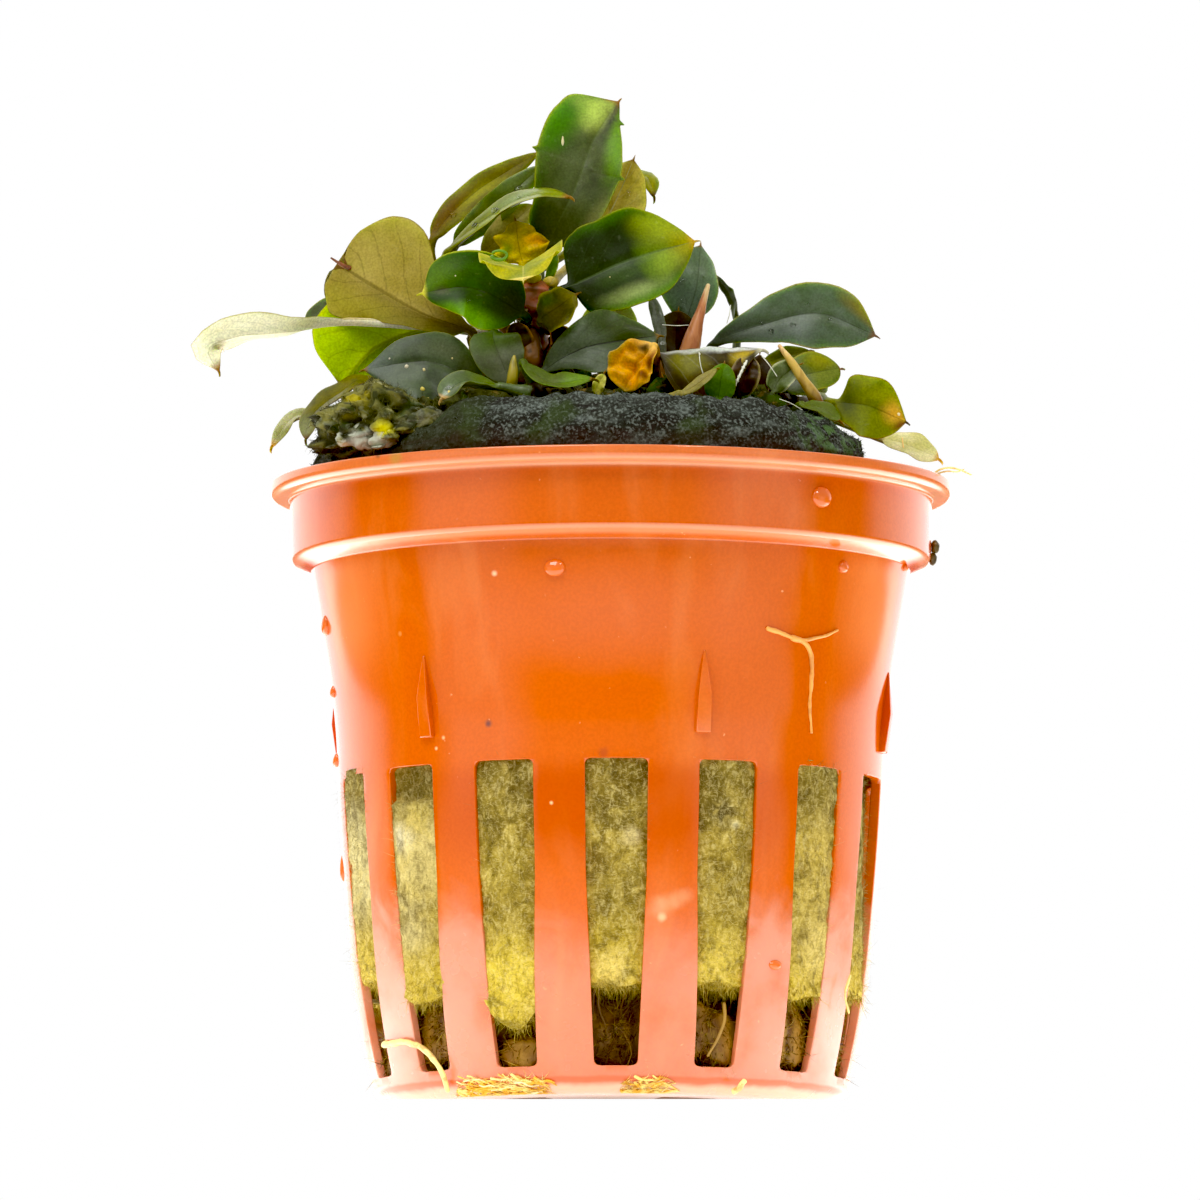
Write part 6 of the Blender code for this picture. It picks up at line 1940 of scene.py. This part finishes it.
TUFTS_LOWEST_Z = 0.02
TUFT_RUNS = ((-12.3, -5.3, 600, 1.5), (0.7, 2.9, 160, 1.2), (3.2, 4.2, 60, 1.4))
shred, shader, place, mark = finish("old_shreds", 0.7)
colour = mix(ramp(speckle(place, 700, 4, 0.5), 0.40, 0.60), (250, 186, 50), (255, 226, 130))
colour = laid(colour, ramp(mark[0], 0.75, 1.0), 0.8, (255, 240, 190))
colour = laid(colour, ramp(mark[0], 0.12, 0.0), 0.7, (180, 110, 20))
cover(shader, colour)
relief(shader, speckle(place, 1900, 4), 0.8, 0.2)
foot_tufts = Shape()


def on_foot(x, z):
    """A place on the sloping foot of the pot's front."""
    radius = 17.75 + 1.15 * z
    return np.stack([x, -np.sqrt(radius**2 - x**2), z], axis=-1)


for start, stop, count, top in TUFT_RUNS:
    for number in range(int((stop - start) * 9)):
        x, z = draw.uniform(start, stop - 0.6), top * draw.random() ** 1.5
        reach = draw.uniform(0.8, 2.4)
        shares = (0, 0.33, 0.67, 1)
        route = [on_foot(x + reach * s, max(z + draw.normal(0, 0.14) - 0.3 * s * z, 0.1)) for s in shares]
        thick = draw.uniform(0.05, 0.13)
        route = flowing(np.array(route) * (1.004, 1.004, 1), 12)
        points, faces, marks = stem(route, np.linspace(thick, thick * 0.5, 12), 6, 0.4, 0.4, draw.random())
        foot_tufts.add(points, faces, (draw.random(), 0, 0))
    places_x = draw.uniform(start, stop, count)
    waves = np.array([0.75 + 0.45 * rough(x, 0, 0, 0.9, 31) for x in places_x])
    places = on_foot(places_x, 0.05 + top * waves * draw.random(count) ** 1.5)
    ways = draw.normal(0, 0.4, (count, 3)) + (0.7, -0.25, 0.0)
    ways[:, 2] = np.abs(ways[:, 2]) * 0.5
    marks = toned(draw.random(count))
    lengths = draw.uniform(0.3, 1.4, count)
    grow_fibres(foot_tufts, places, ways, lengths, draw.uniform(0.02, 0.05, count), 0.25, 2, draw, marks)
foot_tufts.points = [np.maximum(points, (-99, -99, TUFTS_LOWEST_Z)) for points in foot_tufts.points]
settle(foot_tufts.make("foot_tufts", shred), "rock_wool")
crumb = Shape()
crumb.add(clod((0.35, 0.45, 0.60), 14, 20, 77, 0.3) + (26.1, -0.5, 45.3), lattice(14, 20))
crumb.add(clod((0.32, 0.40, 0.55), 14, 20, 79, 0.3) + (25.9, -0.6, 44.3), lattice(14, 20))
settle(crumb.make("collar_crumb", brown_bark), "rhizome_bark")

# Water drops: beads that a rinse has left on the pot's wall and on the upper leaves, clear on the leaves. On
# the pot they are opaque and coloured like the wall, for the wall seen through the water. Each one is a
# flattened bead, fullest a little below its middle, held by the surface that it sits on.

POT_DROPS = (
    (40.0, 47.1, 2.0, 1.7, 0.50), (-10.8, 41.1, 1.7, 1.4, 0.45), (50.4, 42.1, 1.1, 1.0, 0.36),
    (-79.0, 38.6, 1.3, 1.7, 0.40),
    (-89.0, 28.1, 0.9, 1.2, 0.40), (38.8, 10.3, 1.3, 0.8, 0.30), (78.0, 43.2, 0.7, 0.7, 0.30),
    (-90.5, 19.4, 0.6, 2.2, 0.30),
    (-83.0, 33.4, 0.7, 1.0, 0.30),
)
LEAF_DROPS = (
    ("leaf_05", 0.50, -0.75, 0.50, 0.50), ("leaf_05", 0.52, -0.30, 0.60, 0.60),
    ("leaf_05", 0.45, -0.58, 0.50, 0.50),
    ("leaf_05", 0.22, -0.28, 0.70, 0.80), ("leaf_05", 0.66, -0.45, 0.40, 0.40),
    ("leaf_05", 0.38, 0.30, 0.40, 0.50),
    ("leaf_05", 0.60, 0.20, 0.30, 0.30), ("leaf_07", 0.36, 0.40, 0.42, 0.36),
    ("leaf_07", 0.50, 0.30, 0.38, 0.32),
    ("leaf_07", 0.57, -0.35, 0.34, 0.28), ("leaf_07", 0.30, -0.10, 0.30, 0.24),
    ("leaf_07", 0.72, 0.10, 0.30, 0.24),
    ("leaf_24", 0.74, 0.20, 0.70, 0.60), ("leaf_25", 0.46, 0.30, 0.85, 0.60),
    ("leaf_25", 0.26, 0.20, 0.60, 0.50),
    ("leaf_25", 0.62, 0.10, 0.40, 0.36), ("leaf_23", 0.24, 0.20, 0.50, 0.44),
    ("leaf_11", 0.56, -0.45, 0.34, 0.30), ("leaf_18", 0.80, 0.10, 0.60, 0.40),
    ("leaf_02", 0.70, 0.30, 0.40, 0.60),
)


def bead(at, out, across, tall, deep):
    """Points of a drop that stands on a surface at this place, as rings from its hidden foot to its crown."""
    out = np.asarray(out, float) / np.linalg.norm(out)
    side = np.cross((0, 0, 1), out)
    side /= np.linalg.norm(side)
    up = np.cross(out, side)
    made = []
    for rise in np.radians(np.linspace(-35, 88, 10)):
        for a in np.radians(np.arange(0, 360, 20)):
            flat = math.cos(rise) * (side * math.cos(a) * across / 2 + up * math.sin(a) * tall / 2)
            made.append(at + flat + out * deep * math.sin(rise) * (1 - 0.3 * math.sin(a) * math.cos(rise)))
    return made


def on_leaf(node, u, c):
    """The place on a leaf's upper side at these shares of its length and half-width, and its facing."""
    stations, cross, grid = leaf_surfaces[node]
    i = min(
        range(len(stations)), key=lambda k: abs(u - (stations[k][1] if stations[k][1] is not None else -9))
    )
    j = min(range(1, 24), key=lambda k: abs(cross[k][0] - c))
    out = np.cross(grid[i + 1][j] - grid[i - 1][j], grid[i][j + 1] - grid[i][j - 1])
    if out[1] > 0:
        out = -out
    return grid[i][j], out


water, shader, *_ = finish("clear_water", 0.02)
cover(shader, (255, 255, 255))
shader.inputs["Transmission Weight"].default_value = 1.0
shader.inputs["IOR"].default_value = 1.33
# Painted light: the beads on the pot are opaque and coloured like the wall, for the wall seen through the
# water.
bead_skin, shader, *_ = finish("bead_on_plastic", 0.04)
cover(shader, (222, 106, 34), 0.7)
pot_drops = Shape()
for deg, z, across, tall, deep in POT_DROPS:
    sx, sy = turn(deg)
    pot_drops.add(bead(on_wall(deg, z), (sx, sy, -0.08), across, tall, deep), lattice(10, 18))
drops = pot_drops.make("pot_drops", bead_skin)
turned_outwards(drops)
settle(drops, "pot_plastic")
leaf_drops = Shape()
for node, u, c, across, tall in LEAF_DROPS:
    at, out = on_leaf(node, u, c)
    leaf_drops.add(bead(at, out, 1.2 * across, 1.2 * tall, 0.65 * min(across, tall)), lattice(10, 18))
drops = leaf_drops.make("leaf_drops", water)
turned_outwards(drops)
settle(drops, "leaf_dark")

# Flecks on the leaves: crumbs of wool and dried mineral that have fallen on the low leaves at the left, and
# the whitish grains on the one that is curled. Each is a rough grain, smaller than half a millimetre. A
# longer pale grain on the lead leaf is a painted highlight, for the bright streak of light there.

FLECKS = (
    ("leaf_16", 0.69, -0.10, 0.17), ("leaf_16", 0.55, -0.16, 0.14), ("leaf_16", 0.54, -0.68, 0.18),
    ("leaf_16", 0.44, -0.86, 0.20),
    ("leaf_16", 0.80, 0.30, 0.08), ("leaf_16", 0.36, 0.30, 0.07), ("leaf_12", 0.42, -0.20, 0.10),
    ("leaf_18", 0.86, -0.20, 0.12),
    ("leaf_29", 0.88, -0.30, 0.14), ("leaf_11", 0.70, 0.30, 0.06), ("leaf_04", 0.30, 0.20, 0.05),
    ("leaf_08", 0.40, 0.20, 0.08),
)
grain_and_glint_skin, shader, place, _ = finish("fallen_grains_and_glint", 0.7)
colour = mix(ramp(speckle(place, 90, 2), 0.42, 0.58), (226, 204, 84), (214, 206, 178))
cover(shader, colour)
flecks_and_glint = Shape()
for number, (node, u, c, size) in enumerate(FLECKS):
    at, out = on_leaf(node, u, c)
    flecks_and_glint.add(clod((size, size * 0.7, size * 1.1), 8, 12, 5.3 * number, 0.2) + at, lattice(8, 12))
# Painted highlight: a long pale grain on the lead leaf, for the bright streak of light there.
at, out = on_leaf("leaf_01", 0.62, -0.60)
flecks_and_glint.add(clod((0.11, 0.10, 0.48), 12, 12, 90, 0.2) + at, lattice(12, 12))
settle(flecks_and_glint.make("fallen_grains_and_glint", grain_and_glint_skin), "rock_wool")
